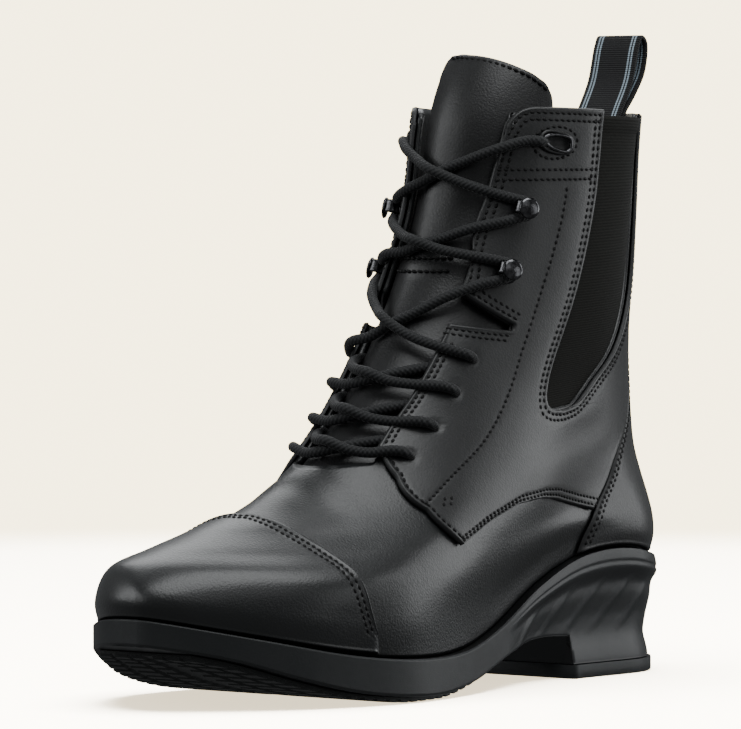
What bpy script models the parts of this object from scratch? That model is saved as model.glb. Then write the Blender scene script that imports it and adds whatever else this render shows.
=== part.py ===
"""Left lace-up paddock boot with elastic sides, a lace throat and a moulded rubber sole.

Metres, +Z up. The toe points to -Y and the outer side of the foot is +X.
The origin lies on the ground under the heel.
The upper is a stack of rings round the foot, from the feather line at the sole to the collar.
A place on it is a ring number v and a way round w: 0 at the back, 1 at the front, 2 at the back again.
"""
import math

import bmesh
import bpy
import numpy as np

# Main sizes of the last and the sole
SOLE_LENGTH = 0.266
BALL_WIDTH = 0.100
COLLAR_HEIGHT = 0.197
HEEL_BACK = 0.030
LEDGE = 0.0035
FEATHER_BULGE = 0.0012

# Clearances: between pieces that meet, of the upper over the ledge, and of the overlays over the upper
CLEAR = 0.0003
SEAT = 0.0006
UNDER = 0.0007
GORE_SINK = 0.0005
TONGUE_GAP = 0.0006
LACE_GAP = 0.0006

# How far cut edges stand back from their lines, as shares of the way round
CUT_BACK = 0.004
FACING_BACK = 0.006
STAY_BACK = 0.002

# How far the elastic stands inside its opening at the foot and at the top, in rings
GORE_RISE = 0.03
GORE_DROP = 0.08

# Thicknesses
WALL = 0.0020
OVERLAY = 0.0013
GORE_THICK = 0.0012
TONGUE_THICK = 0.0018
INSOLE_THICK = 0.0025
LIFT_THICK = 0.0050

# Forefoot tread: where it starts and ends along the sole, its lug rows, its inset and its depths
TREAD_FROM = 0.500
TREAD_TO = 0.955
TREAD_LUGS = 11
TREAD_INSET = 0.0045
TREAD_PLATE = 0.0010
TREAD_LUG = 0.0009

# Gap between the insole's edge and the upper's wall
INSOLE_INSET = 0.0020

# Plan of the sole: share of the length from the heel back, half widths as shares of the ball width
PLAN_COLUMNS = ("along", "outer", "inner")
PLAN = [
    (0.00, 0.315, 0.315),
    (0.12, 0.325, 0.325),
    (0.26, 0.330, 0.300),
    (0.42, 0.380, 0.270),
    (0.56, 0.465, 0.345),
    (0.68, 0.505, 0.455),
    (0.80, 0.445, 0.475),
    (0.92, 0.320, 0.420),
    (1.00, 0.200, 0.360),
]
HEEL_ROUND = 0.12
TOE_ROUND = 0.20
HEEL_POWER = 2.10
TOE_POWER = 2.25

# Side view of the sole: heights of the ledge and of the arch as shares of the collar height
SIDE_COLUMNS = ("along", "ledge")
SIDE = [
    (0.000, 0.193),
    (0.060, 0.211),
    (0.140, 0.228),
    (0.240, 0.218),
    (0.340, 0.173),
    (0.440, 0.112),
    (0.540, 0.079),
    (0.660, 0.074),
    (0.780, 0.089),
    (0.900, 0.122),
    (1.000, 0.155),
]
FOOT_COLUMNS = ("along", "height")
FOOT = [
    (0.248, 0.077),
    (0.300, 0.080),
    (0.350, 0.077),
    (0.410, 0.063),
    (0.515, 0.026),
    (0.590, 0.0112),
    (0.670, 0.0112),
    (0.780, 0.028),
    (0.850, 0.052),
    (0.920, 0.084),
    (1.000, 0.110),
]
BREAST = 0.2475
BREAST_STEP = 0.001

# How far the heel cup's wall stands in from the outline, by share of the way down the wall
CUP_COLUMNS = ("down", "inset")
CUP = [
    (0.00, 0.0005),
    (0.06, 0.0000),
    (0.17, 0.0001),
    (0.23, 0.0014),
    (0.40, 0.0024),
    (0.60, 0.0040),
    (0.76, 0.0046),
    (0.90, 0.0034),
    (1.00, 0.0028),
]
CUP_END = 0.30
CUP_FADE = 0.14
RIB_DEPTH = 0.0009
RIB_PITCH = 0.0095
RIB_SLOPE = 0.55
RIB_FROM = 0.08
RIB_TO = 0.42

# Rings of the upper. Front and back are shares of the sole length, heights shares of the collar height,
# half widths shares of the ball width at five places along the ring, rounds shares of the ring.
# Swing is how far a ring follows the foot's curve, draw how much the inner side is drawn in at the front
RING_COLUMNS = ("front", "front_height", "back", "back_height", "heel", "seat", "waist", "ball", "tip",
                "back_round", "front_round", "swing", "draw")
RINGS = [
    (0.987, 0.152, 0.015, 0.195, 0.000, 0.000, 0.000, 0.000, 0.000, 0.00, 0.00, 1.0, 0.000),
    (0.991, 0.190, 0.010, 0.234, 0.000, 0.000, 0.000, 0.000, 0.000, 0.00, 0.00, 1.0, 0.000),
    (0.962, 0.234, 0.011, 0.274, 0.298, 0.305, 0.342, 0.448, 0.350, 0.12, 0.24, 1.0, 0.000),
    (0.912, 0.261, 0.014, 0.315, 0.278, 0.295, 0.348, 0.408, 0.330, 0.13, 0.34, 1.0, 0.000),
    (0.838, 0.289, 0.019, 0.360, 0.260, 0.287, 0.353, 0.373, 0.315, 0.16, 0.42, 0.9, 0.000),
    (0.748, 0.330, 0.027, 0.416, 0.242, 0.284, 0.350, 0.360, 0.320, 0.20, 0.48, 0.8, 0.000),
    (0.650, 0.411, 0.030, 0.487, 0.235, 0.285, 0.340, 0.350, 0.330, 0.26, 0.50, 0.6, 0.010),
    (0.564, 0.528, 0.036, 0.579, 0.250, 0.290, 0.330, 0.335, 0.330, 0.34, 0.50, 0.3, 0.035),
    (0.481, 0.675, 0.036, 0.701, 0.290, 0.315, 0.335, 0.340, 0.335, 0.44, 0.50, 0.0, 0.060),
    (0.421, 0.838, 0.030, 0.853, 0.330, 0.335, 0.340, 0.345, 0.340, 0.50, 0.50, 0.0, 0.070),
    (0.387, 1.010, 0.019, 1.000, 0.345, 0.345, 0.350, 0.355, 0.355, 0.50, 0.50, 0.0, 0.050),
    (0.331, 1.132, 0.000, 1.122, 0.360, 0.360, 0.360, 0.365, 0.365, 0.50, 0.50, 0.0, 0.030),
]
WIDTH_PLACES = (0.0, 0.20, 0.45, 0.72, 1.0)
DRAW_FROM = 0.45
DRAW_TO = 0.75
SAG_RINGS = 5.0
SAG_POWER = 1.5

# How far the throat is turned to the outer side, by ring, and the ways round between which the turn fades in
TURN_COLUMNS = ("ring", "round")
TURN = [
    (7.5, 0.00), (10.0, 0.07),
]
TURN_FROM = 0.50
TURN_TO = 0.80

# Seams and edges on the upper, as ring numbers and ways round
TOE_SEAM_COLUMNS = ("ring", "along")
TOE_SEAM = [
    (0.0, 0.726), (1.0, 0.742), (2.0, 0.756), (3.0, 0.766), (4.0, 0.774), (5.0, 0.780),
]
STAY_COLUMNS = ("ring", "round")
STAY = [
    (0.0, 0.325), (1.5, 0.318), (2.8, 0.307), (4.0, 0.290), (5.0, 0.272), (5.7, 0.240), (6.4, 0.205),
    (7.2, 0.160), (8.2, 0.120), (10.1, 0.100),
]
GORE_COLUMNS = ("ring", "rear", "front")
GORE = [
    (6.35, 0.452, 0.497), (6.48, 0.432, 0.517), (6.75, 0.400, 0.527), (7.15, 0.335, 0.527), (7.65, 0.275, 0.519),
    (8.15, 0.225, 0.511), (9.00, 0.175, 0.506), (10.1, 0.150, 0.520),
]
FACING_COLUMNS = ("ring", "round")
FACING = [
    (5.85, 0.835), (6.35, 0.845), (6.85, 0.828), (7.60, 0.812), (8.05, 0.808), (8.60, 0.826), (9.20, 0.812),
    (9.80, 0.795), (10.1, 0.790),
]
LOWER_EDGE_COLUMNS = ("round", "ring")
LOWER_EDGE = [
    (0.300, 2.30), (0.345, 2.95), (0.383, 3.45), (0.420, 3.85), (0.455, 4.05), (0.505, 4.08), (0.545, 3.66),
    (0.573, 3.02), (0.655, 4.35), (0.755, 5.43), (0.838, 6.05),
]
POINT_ROUND = 0.573
NOTCH_ROUND = 0.657
THROAT_RING = 5.85
TOP_RING = 10.05
CORNER_FROM = 0.720
CORNER_DROP = 0.28

# Lace places on the outer facing: ring number and way round
EYELETS = [(5.88, 0.765), (6.35, 0.750), (6.85, 0.735), (7.28, 0.725)]
HOOKS = [(8.28, 0.720), (8.95, 0.718)]
RING_PLACE = (9.65, 0.655)
LACE_TOP = (9.62, 0.725)
LACE_RADIUS = 0.0022

LACE_TRIM = 0.022

# Tongue: its two sides as ways round, and its top edge as ring numbers
TONGUE_SIDE_COLUMNS = ("ring", "outer", "inner")
TONGUE_SIDES = [
    (5.55, 0.730, 1.270), (7.00, 0.690, 1.310), (7.60, 0.640, 1.350), (8.10, 0.640, 1.330), (8.80, 0.665, 1.230),
    (9.40, 0.660, 1.140), (9.80, 0.655, 1.120),
]
TONGUE_TOP_COLUMNS = ("round", "ring")
TONGUE_TOP = [
    (0.655, 9.95), (0.665, 10.12), (0.690, 10.33), (0.735, 10.50), (0.815, 10.68), (0.895, 10.80), (0.985, 10.87),
    (1.060, 10.88), (1.100, 10.82), (1.114, 10.70), (1.120, 10.45),
]

# Notch at the ankle's bend: its upper edge's ring above the lower one, and how far its two edges rise
NOTCH_RING = 7.60
NOTCH_CUT = 0.06
NOTCH_LOW_RISE = 0.12
NOTCH_HIGH_RISE = 0.41
NOTCH_GROW = 0.02

# Metal pieces and the pull loop
HOOK_REACH = 0.0040
HOOK_CURL = 0.0026
HOOK_THICK = 0.0008
WIRE_RADIUS = 0.0008
RING_LONG = 0.0066
RING_WIDE = 0.0036
LOOP_WIDTH = 0.0195
LOOP_THICK = 0.0012
LOOP_SINK = 0.0076


def table(columns, rows):
    """A table as a dictionary of arrays, one for each named column."""
    return dict(zip(columns, np.array(rows, float).T))


def cubic(xs, ys, x):
    """Smooth curve through the points (xs, ys), read at x."""
    xs = np.asarray(xs, float)
    ys = np.asarray(ys, float)
    step = np.diff(xs)
    slope = np.diff(ys) / step
    tangent = np.empty_like(ys)
    tangent[1:-1] = (slope[:-1] * step[1:] + slope[1:] * step[:-1]) / (step[:-1] + step[1:])
    tangent[0] = 1.5 * slope[0] - 0.5 * tangent[1]
    tangent[-1] = 1.5 * slope[-1] - 0.5 * tangent[-2]
    x = np.asarray(x, float)
    i = np.clip(np.searchsorted(xs, x) - 1, 0, len(xs) - 2)
    t = (x - xs[i]) / step[i]
    first = (1 + 2 * t) * (1 - t) ** 2 * ys[i] + t * (1 - t) ** 2 * step[i] * tangent[i]
    second = t * t * (3 - 2 * t) * ys[i + 1] + t * t * (t - 1) * step[i] * tangent[i + 1]
    return first + second


def blend(edge0, edge1, x):
    """Smooth rise from 0 at edge0 to 1 at edge1."""
    t = np.clip((np.asarray(x, float) - edge0) / (edge1 - edge0), 0.0, 1.0)
    return t * t * (3 - 2 * t)


def end_round(share, back, front, back_power=2.0, front_power=2.0):
    """Width factor that closes both ends of a ring like part of a superellipse."""
    b = np.clip((back - share) / back, 0.0, 1.0)
    f = np.clip((share - (1 - front)) / front, 0.0, 1.0)
    return (1 - b ** back_power) ** (1 / back_power) * (1 - f ** front_power) ** (1 / front_power)


plan = table(PLAN_COLUMNS, PLAN)
side_view = table(SIDE_COLUMNS, SIDE)
foot_view = table(FOOT_COLUMNS, FOOT)
cup = table(CUP_COLUMNS, CUP)
rings = table(RING_COLUMNS, RINGS)
toe_seam = table(TOE_SEAM_COLUMNS, TOE_SEAM)
stay = table(STAY_COLUMNS, STAY)
gore = table(GORE_COLUMNS, GORE)
facing = table(FACING_COLUMNS, FACING)
turn_table = table(TURN_COLUMNS, TURN)
tongue_sides = table(TONGUE_SIDE_COLUMNS, TONGUE_SIDES)
tongue_top = table(TONGUE_TOP_COLUMNS, TONGUE_TOP)
lower_edge = table(LOWER_EDGE_COLUMNS, LOWER_EDGE)


def outline(share, side, inset=0.0):
    """Sideways place of the sole's edge; side is an array of +1 (outer) and -1 (inner)."""
    outer = cubic(plan["along"], plan["outer"], share)
    inner = cubic(plan["along"], plan["inner"], share)
    half = np.where(side > 0, outer, inner) * BALL_WIDTH - inset
    return side * half * end_round(share, HEEL_ROUND, TOE_ROUND, HEEL_POWER, TOE_POWER)


def swing(share):
    """Sideways place of the foot's centre line."""
    share = np.clip(share, 0.0, 1.0)
    return cubic(plan["along"], (plan["outer"] - plan["inner"]) / 2, share) * BALL_WIDTH


def ledge_height(share):
    """Height of the sole's top edge."""
    return cubic(side_view["along"], side_view["ledge"], np.clip(share, 0.0, 1.0)) * COLLAR_HEIGHT


def foot_height(share):
    """Height of the foot of the sole's wall: the arch and toe spring, with the heel block behind the breast."""
    front = cubic(foot_view["along"], foot_view["height"], np.maximum(share, BREAST)) * COLLAR_HEIGHT
    return np.where(share < BREAST, LIFT_THICK + CLEAR, front)


def ring_side(number, tau, side):
    """Sideways place of one ring at share tau of its length."""
    if number < 2:
        return outline(tau, side, LEDGE - number * FEATHER_BULGE)
    row = {name: rings[name][number] for name in RING_COLUMNS}
    widths = [row[name] for name in ("heel", "seat", "waist", "ball", "tip")]
    half = cubic(WIDTH_PLACES, widths, tau) - np.where(side < 0, row["draw"] * blend(DRAW_FROM, DRAW_TO, tau), 0.0)
    half = half * BALL_WIDTH * end_round(tau, row["back_round"], row["front_round"])
    return side * half + swing(row["back"] + (row["front"] - row["back"]) * tau) * row["swing"]


def form(v, w):
    """Points of the upper's outer face at ring v and way round w."""
    v, w = np.broadcast_arrays(np.asarray(v, float), np.asarray(w, float))
    w = np.mod(w, 2.0)
    side = np.where(w <= 1.0, 1.0, -1.0)
    tau = (1 - np.cos(np.pi * np.where(w <= 1.0, w, 2.0 - w))) / 2
    count = len(RINGS)
    numbers = np.arange(count)
    across = np.stack([ring_side(k, tau, side) for k in numbers])
    i = np.clip(np.floor(v).astype(int), 0, count - 2)
    t = v - i

    def ring(j):
        return np.take_along_axis(across, np.clip(j, 0, count - 1)[None], 0)[0]

    low = ring(i)
    high = ring(i + 1)
    low_slope = np.where(i > 0, (high - ring(i - 1)) / 2, high - low)
    high_slope = np.where(i < count - 2, (ring(i + 2) - low) / 2, high - low)
    x = (1 + 2 * t) * (1 - t) ** 2 * low + t * (1 - t) ** 2 * low_slope
    x = x + t * t * (3 - 2 * t) * high + t * t * (t - 1) * high_slope
    front, front_height, back, back_height = (
        cubic(numbers, rings[name], v) for name in ("front", "front_height", "back", "back_height"))
    along = back + (front - back) * tau
    z = (back_height + (front_height - back_height) * tau) * COLLAR_HEIGHT
    chord = rings["back_height"][0] + (rings["front_height"][0] - rings["back_height"][0]) * tau
    sag = ledge_height(along) - chord * COLLAR_HEIGHT + SEAT
    z = z + sag * np.clip(1 - v / SAG_RINGS, 0.0, 1.0) ** SAG_POWER
    return np.stack([x, HEEL_BACK - along * SOLE_LENGTH, z], -1)


def skin(v, w, offset=0.0):
    """Points at a distance outside the upper's outer face, never below the sole's ledge."""
    step = 0.002
    v = np.asarray(v, float)
    w = np.asarray(w, float)
    up = form(v + step, w) - form(np.maximum(v - step, 0.0), w)
    round_way = form(v, w + step) - form(v, w - step)
    normal = np.cross(up, round_way)
    normal /= np.linalg.norm(normal, axis=-1, keepdims=True)
    point = form(v, w) + normal * np.asarray(offset, float)[..., None]
    share = (HEEL_BACK - point[..., 1]) / SOLE_LENGTH
    point[..., 2] = np.maximum(point[..., 2], ledge_height(share) + SEAT)
    return point


for item in list(bpy.data.objects):
    bpy.data.objects.remove(item, do_unlink=True)
boot = bpy.data.collections.new("paddock_boot")
cutters = bpy.data.collections.new("paddock_boot_cutters")
bpy.context.scene.collection.children.link(boot)
bpy.context.scene.collection.children.link(cutters)


def material(name, colour, roughness, metallic=0.0):
    """A plain surface for one piece."""
    made = bpy.data.materials.new(name)
    made.use_nodes = True
    surface = made.node_tree.nodes["Principled BSDF"]
    surface.inputs["Base Color"].default_value = (*colour, 1.0)
    surface.inputs["Roughness"].default_value = roughness
    surface.inputs["Metallic"].default_value = metallic
    return made


def solid(name, points, faces, paint, home=boot):
    """One closed object from points and faces, its faces turned outward."""
    mesh = bpy.data.meshes.new(name)
    mesh.from_pydata([tuple(p) for p in np.asarray(points, float)], [], [tuple(f) for f in faces])
    work = bmesh.new()
    work.from_mesh(mesh)
    loose = [v for v in work.verts if not v.link_faces]
    bmesh.ops.delete(work, geom=loose, context="VERTS")
    bmesh.ops.recalc_face_normals(work, faces=work.faces)
    if work.calc_volume(signed=True) < 0:
        bmesh.ops.reverse_faces(work, faces=work.faces)
    work.to_mesh(mesh)
    work.free()
    mesh.polygons.foreach_set("use_smooth", [True] * len(mesh.polygons))
    made = bpy.data.objects.new(name, mesh)
    home.objects.link(made)
    if paint is not None:
        made.data.materials.append(paint)
    return made


def two_sheets(outer, inner, keep, wrap=False):
    """Faces of a solid between two grids of points, walled along every open edge of the kept cells."""
    rows, columns = outer.shape[:2]
    cells_across = columns if wrap else columns - 1
    number = np.arange(rows * columns).reshape(rows, columns)
    behind = rows * columns
    faces = []
    for i in range(rows - 1):
        for j in range(cells_across):
            if not keep[i, j]:
                continue
            k = (j + 1) % columns
            ring = [number[i, j], number[i, k], number[i + 1, k], number[i + 1, j]]
            faces.append(ring)
            faces.append([n + behind for n in reversed(ring)])
            left = (j - 1) % columns if wrap else j - 1
            right = (j + 1) % columns if wrap else j + 1
            sides = [
                (i > 0 and keep[i - 1, j], 0),
                ((wrap or right < cells_across) and keep[i, right % cells_across], 1),
                (i + 1 < rows - 1 and keep[i + 1, j], 2),
                ((wrap or left >= 0) and keep[i, left], 3),
            ]
            for joined, edge in sides:
                if not joined:
                    a = ring[edge]
                    b = ring[(edge + 1) % 4]
                    faces.append([b, a, a + behind, b + behind])
    points = np.concatenate([outer.reshape(-1, 3), inner.reshape(-1, 3)])
    return points, faces


def shell(name, v, w, inner, outer, paint, keep=None, wrap=False):
    """A sheet that follows the upper between two offsets, over the kept cells of a grid."""
    v, w = np.broadcast_arrays(v, w)
    if keep is None:
        keep = np.ones((v.shape[0] - 1, v.shape[1]), bool)
    points, faces = two_sheets(skin(v, w, outer), skin(v, w, inner), keep, wrap)
    return solid(name, points, faces, paint)


def between(lines, counts):
    """Values from line to line of a list, each span cut into its own number of cells."""
    pieces = []
    for start, stop, count in zip(lines[:-1], lines[1:], counts):
        share = np.arange(count) / count
        pieces.append(start[..., None] + (stop - start)[..., None] * share)
    pieces.append(lines[-1][..., None])
    return np.concatenate(pieces, -1)


def side_round(v, w, inner_side):
    """Ways round as they are on the outer side, or their places on the inner side, turned with the throat."""
    turn = np.interp(v, turn_table["ring"], turn_table["round"]) * blend(TURN_FROM, TURN_TO, w)
    return 2.0 - w - turn if inner_side else w


def open_notch(v, w, grow=0.0):
    """Rings of the rows on both sides of the notch, opened in proportion to the way to the facing."""
    share = np.clip((w - NOTCH_ROUND) / (facing_line(v) - NOTCH_ROUND), 0.0, 1.0)
    low = np.abs(v - NOTCH_RING) < NOTCH_CUT / 4
    high = np.abs(v - NOTCH_RING - NOTCH_CUT) < NOTCH_CUT / 4
    return v + share * (low * (NOTCH_LOW_RISE - grow) + high * (NOTCH_HIGH_RISE + grow))


leather = material("leather", (0.018, 0.018, 0.020), 0.34)
cap_leather = material("cap_leather", (0.018, 0.018, 0.020), 0.30)
quarter_leather = material("quarter_leather", (0.020, 0.020, 0.022), 0.36)
stay_leather = material("stay_leather", (0.019, 0.019, 0.021), 0.36)
tongue_leather = material("tongue_leather", (0.021, 0.021, 0.024), 0.40)
elastic = material("elastic", (0.045, 0.045, 0.040), 0.85)
rubber = material("rubber", (0.035, 0.036, 0.038), 0.60)
tread_rubber = material("tread_rubber", (0.020, 0.020, 0.021), 0.70)
lift_rubber = material("lift_rubber", (0.032, 0.033, 0.035), 0.60)
lining = material("lining", (0.100, 0.095, 0.085), 0.80)
cord = material("cord", (0.020, 0.020, 0.021), 0.65)
steel = material("gunmetal", (0.160, 0.160, 0.165), 0.28, 1.0)
webbing = material("webbing", (0.025, 0.025, 0.026), 0.80)


def gore_lines(v):
    """Rear and front edges of the elastic side at ring v."""
    held = np.clip(v, GORE[0][0], GORE[-1][0])
    return cubic(gore["ring"], gore["rear"], held), cubic(gore["ring"], gore["front"], held)


def facing_line(v):
    """Edge of the facing beside the lace throat at ring v."""
    return cubic(facing["ring"], facing["round"], np.clip(v, FACING[0][0], FACING[-1][0]))


def stay_line(v):
    """Front edge of the back stay at ring v."""
    return cubic(stay["ring"], stay["round"], np.clip(v, STAY[0][0], STAY[-1][0]))


def top_ring(w):
    """Ring number of the quarter's top line, falling round the corner at the facing."""
    corner = np.clip((w - CORNER_FROM) / (FACING[-1][1] - CORNER_FROM), 0.0, 1.0)
    return TOP_RING - CORNER_DROP * corner ** 3


LOW_RINGS = [0.0, 0.5, 1.0, 1.5, 2.0, 2.5, 3.1, 3.75, 4.5, 5.2]
HIGH_RINGS = [GORE[0][0], 6.5, 6.8, 7.2, NOTCH_RING, 8.15, 8.8, 9.4]
NOTCHED_RINGS = HIGH_RINGS[:5] + [NOTCH_RING + NOTCH_CUT] + HIGH_RINGS[5:]
UPPER_CELLS = (7, 3, 4, 4, 5)


def make_upper():
    """Hollow upper: open at the collar, the throat, the two elastic sides and underneath."""
    low = LOW_RINGS + [THROAT_RING]
    v = np.array(low + NOTCHED_RINGS + [TOP_RING])
    rear, front = gore_lines(v)
    edge = facing_line(v) - FACING_BACK
    zero = np.zeros_like(v)
    half = between([zero, rear, front, zero + NOTCH_ROUND, edge, zero + 1.0], UPPER_CELLS)
    level = open_notch(np.repeat(v[:, None], half.shape[1], 1), half, NOTCH_GROW)
    level[-1] = np.minimum(top_ring(half[-1]) - 0.01, TOP_RING)
    w = np.concatenate([half, side_round(level, half, True)[:, -2:0:-1]], 1)
    level = np.concatenate([level, level[:, -2:0:-1]], 1)
    around = w.shape[1]
    behind, elastic_cells, before, notch_cells, throat = UPPER_CELLS
    keep = np.ones((len(v) - 1, around), bool)
    keep[len(low):, behind:behind + elastic_cells] = False
    keep[len(low):, around - behind - elastic_cells:around - behind] = False
    keep[len(low) - 1:, around // 2 - throat:around // 2 + throat] = False
    cut = len(low) + NOTCHED_RINGS.index(NOTCH_RING)
    first = behind + elastic_cells + before
    keep[cut, first:around - first] = False
    return shell("upper", level, w, -WALL, 0.0, leather, keep, wrap=True)


def toe_seam_ring(w):
    """Ring number of the toe cap's seam at way round w, from the seam's place along the foot."""
    level = np.linspace(0.0, 5.0, 201)
    back = cubic(np.arange(len(RINGS)), rings["back"], level)
    front = cubic(np.arange(len(RINGS)), rings["front"], level)
    tau = (cubic(toe_seam["ring"], toe_seam["along"], level) - back) / (front - back)
    crossed = tau < 0.9995
    seam_round = np.arccos(1 - 2 * np.clip(tau[crossed], 0.0, 1.0)) / math.pi
    return np.interp(np.where(w <= 1.0, w, 2.0 - w), seam_round, level[crossed])


def make_toe_cap():
    """Toe cap over the vamp, from the sole up to the curved seam across the toes."""
    half = np.array([0.655, 0.662, 0.671, 0.683, 0.697, 0.714, 0.735, 0.762, 0.792, 0.826, 0.862, 0.898, 0.932, 0.966])
    w = np.concatenate([half, [1.0], 2.0 - half[::-1]])
    height = toe_seam_ring(w)
    rows = np.array([0.0, 0.10, 0.20, 0.30, 0.38, 0.46, 0.54, 0.63, 0.74, 0.87, 1.0])
    v = 0.06 + (height[None] - 0.06) * rows[:, None]
    return shell("toe_cap", v, w[None], UNDER, UNDER + OVERLAY, cap_leather)


def quarter_lines(ring):
    """The quarter's lines from back to front at a ring: stay, gore, gore, point, notch and facing."""
    rear, front = gore_lines(ring)
    return [stay_line(ring) + CUT_BACK, rear - CUT_BACK, front + CUT_BACK, ring * 0 + POINT_ROUND,
            ring * 0 + NOTCH_ROUND, facing_line(ring)]


def make_quarter(name, inner_side):
    """Quarter with its lace facing, cut away round the elastic and notched for the ankle's bend."""
    counts = (6, 3, 2, 3, 4)
    tip = GORE[0][0]
    lower_rows = np.array([0.0, 0.12, 0.26, 0.42, 0.60, 0.80])
    base_round = between(quarter_lines(np.array([tip])), counts)[0]
    behind = counts[0]
    rear_share = np.arange(behind + 1) / behind
    foot_round = base_round.copy()
    foot = stay_line(LOWER_EDGE[0][1]) + CUT_BACK
    foot_round[:behind + 1] = foot + (base_round[behind] - foot) * rear_share
    edge = np.interp(foot_round, lower_edge["round"], lower_edge["ring"])
    v_low = edge[None] + (tip - edge[None]) * lower_rows[:, None]
    w_low = np.repeat(base_round[None], len(lower_rows), 0)
    foot = (stay_line(v_low[:, 0]) + CUT_BACK)[:, None]
    w_low[:, :behind + 1] = foot + (base_round[behind] - foot) * rear_share[None]
    rows = np.array(NOTCHED_RINGS + [TOP_RING])
    w_high = between(quarter_lines(rows), counts)
    v_high = open_notch(np.repeat(rows[:, None], w_high.shape[1], 1), w_high)
    v_high[-1] = top_ring(w_high[-1])
    v = np.concatenate([v_low, v_high])
    w = np.concatenate([w_low, w_high])
    keep = np.ones((v.shape[0] - 1, v.shape[1] - 1), bool)
    first = len(lower_rows)
    keep[first:, counts[0]:counts[0] + counts[1]] = False
    keep[first + NOTCHED_RINGS.index(NOTCH_RING), sum(counts[:4]):] = False
    return shell(name, v, side_round(v, w, inner_side), UNDER, UNDER + OVERLAY, quarter_leather, keep)


def make_back_stay():
    """Heel counter that narrows upward into the strip down the back."""
    v = np.array([0.06] + LOW_RINGS[1:] + [THROAT_RING] + HIGH_RINGS + [TOP_RING - 0.03])
    share = np.linspace(-1.0, 1.0, 15)
    w = (stay_line(v) - STAY_BACK)[:, None] * share[None]
    return shell("back_stay", np.repeat(v[:, None], len(share), 1), w, UNDER, UNDER + OVERLAY, stay_leather)


def make_gore(name, inner_side):
    """Elastic side, set in the opening of the upper."""
    v = np.array([GORE[0][0] + GORE_RISE] + HIGH_RINGS[1:] + [TOP_RING - GORE_DROP])
    rear, front = gore_lines(v)
    w = between([rear + CUT_BACK, front - CUT_BACK], (6,))
    v = np.repeat(v[:, None], w.shape[1], 1)
    return shell(name, v, side_round(v, w, inner_side), -GORE_SINK - GORE_THICK, -GORE_SINK, elastic)


def make_tongue():
    """Tongue behind the lace, from under the vamp to above the collar."""
    level = np.array([5.55, 6.0, 6.5, 7.0, 7.4, 7.8, 8.2, 8.6, 9.0, 9.4, 9.8])
    share = np.array([0.0, 0.06, 0.18, 0.34, 0.52, 0.68, 0.82, 0.93, 1.0])
    outer = cubic(tongue_sides["ring"], tongue_sides["outer"], level)
    inner = cubic(tongue_sides["ring"], tongue_sides["inner"], level)
    w = outer[:, None] + (inner - outer)[:, None] * share[None]
    v = np.repeat(level[:, None], len(share), 1)
    top = cubic(tongue_top["round"], tongue_top["ring"], w[-1])
    for part in (0.35, 0.70, 1.0):
        v = np.concatenate([v, (level[-1] + part * (top - level[-1]))[None]])
        w = np.concatenate([w, w[-1:]])
    depth = -WALL - TONGUE_GAP
    return shell("tongue", v, w, depth - TONGUE_THICK, depth, tongue_leather)


def slab(name, stations, across, inset, top, foot, downs, shape, paint):
    """A moulded layer on the sole's plan, with its side wall shaped on the way down."""
    share = np.repeat(stations[:, None], len(across), 1)
    q = np.repeat(across[None], len(stations), 0)
    outer = outline(share, np.ones_like(share), inset)
    inner = outline(share, -np.ones_like(share), inset)
    x = inner + (outer - inner) * (q + 1) / 2
    y = HEEL_BACK - share * SOLE_LENGTH
    rows, columns = share.shape
    number = np.arange(rows * columns).reshape(rows, columns)
    loop = np.concatenate([number[:, -1], number[-1, -2::-1], number[-2::-1, 0], number[0, 1:-1]])
    flat = np.stack([x.ravel(), y.ravel()], -1)
    edge = flat[loop]
    way = np.roll(edge, -1, 0) - np.roll(edge, 1, 0)
    inward = np.stack([way[:, 1], -way[:, 0]], -1) / np.linalg.norm(way, axis=1, keepdims=True)
    if np.sum(inward * (edge.mean(0) - edge)) < 0:
        inward = -inward
    loop_share = share.ravel()[loop]
    high = top(share).ravel()
    low = foot(share).ravel()
    points = [np.column_stack([flat, high])]
    under = flat.copy()
    under[loop] = edge + inward * shape(loop_share, 1.0, low[loop])[:, None]
    points.append(np.column_stack([under, low]))
    count = rows * columns
    faces = []
    for i in range(rows - 1):
        for j in range(columns - 1):
            cell = [number[i, j], number[i, j + 1], number[i + 1, j + 1], number[i + 1, j]]
            faces.append(cell)
            faces.append([n + count for n in reversed(cell)])
    levels = [loop]
    total = 2 * count
    for down in downs:
        z = high[loop] + (low[loop] - high[loop]) * down
        at = edge + inward * shape(loop_share, down, z)[:, None]
        points.append(np.column_stack([at, z]))
        levels.append(np.arange(total, total + len(loop)))
        total += len(loop)
    levels.append(loop + count)
    for upper_loop, lower_loop in zip(levels[:-1], levels[1:]):
        for a in range(len(loop)):
            b = (a + 1) % len(loop)
            faces.append([upper_loop[a], upper_loop[b], lower_loop[b], lower_loop[a]])
    return solid(name, np.concatenate(points), faces, paint)


def cup_inset(share, down, z):
    """Inset of the side wall: heel cup with its rolled rim and slanting ribs, fading to a plain wall."""
    heel = 1 - blend(CUP_END, CUP_END + CUP_FADE, share)
    basic = cubic(cup["down"], cup["inset"], down) * heel
    zone = blend(RIB_FROM, RIB_FROM + 0.05, share) * (1 - blend(RIB_TO - 0.05, RIB_TO, share))
    zone = zone * blend(0.20, 0.34, down) * (1 - blend(0.62, 0.80, down))
    phase = (z + RIB_SLOPE * share * SOLE_LENGTH) / RIB_PITCH
    return basic + RIB_DEPTH * zone * np.sin(np.pi * phase) ** 2


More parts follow.
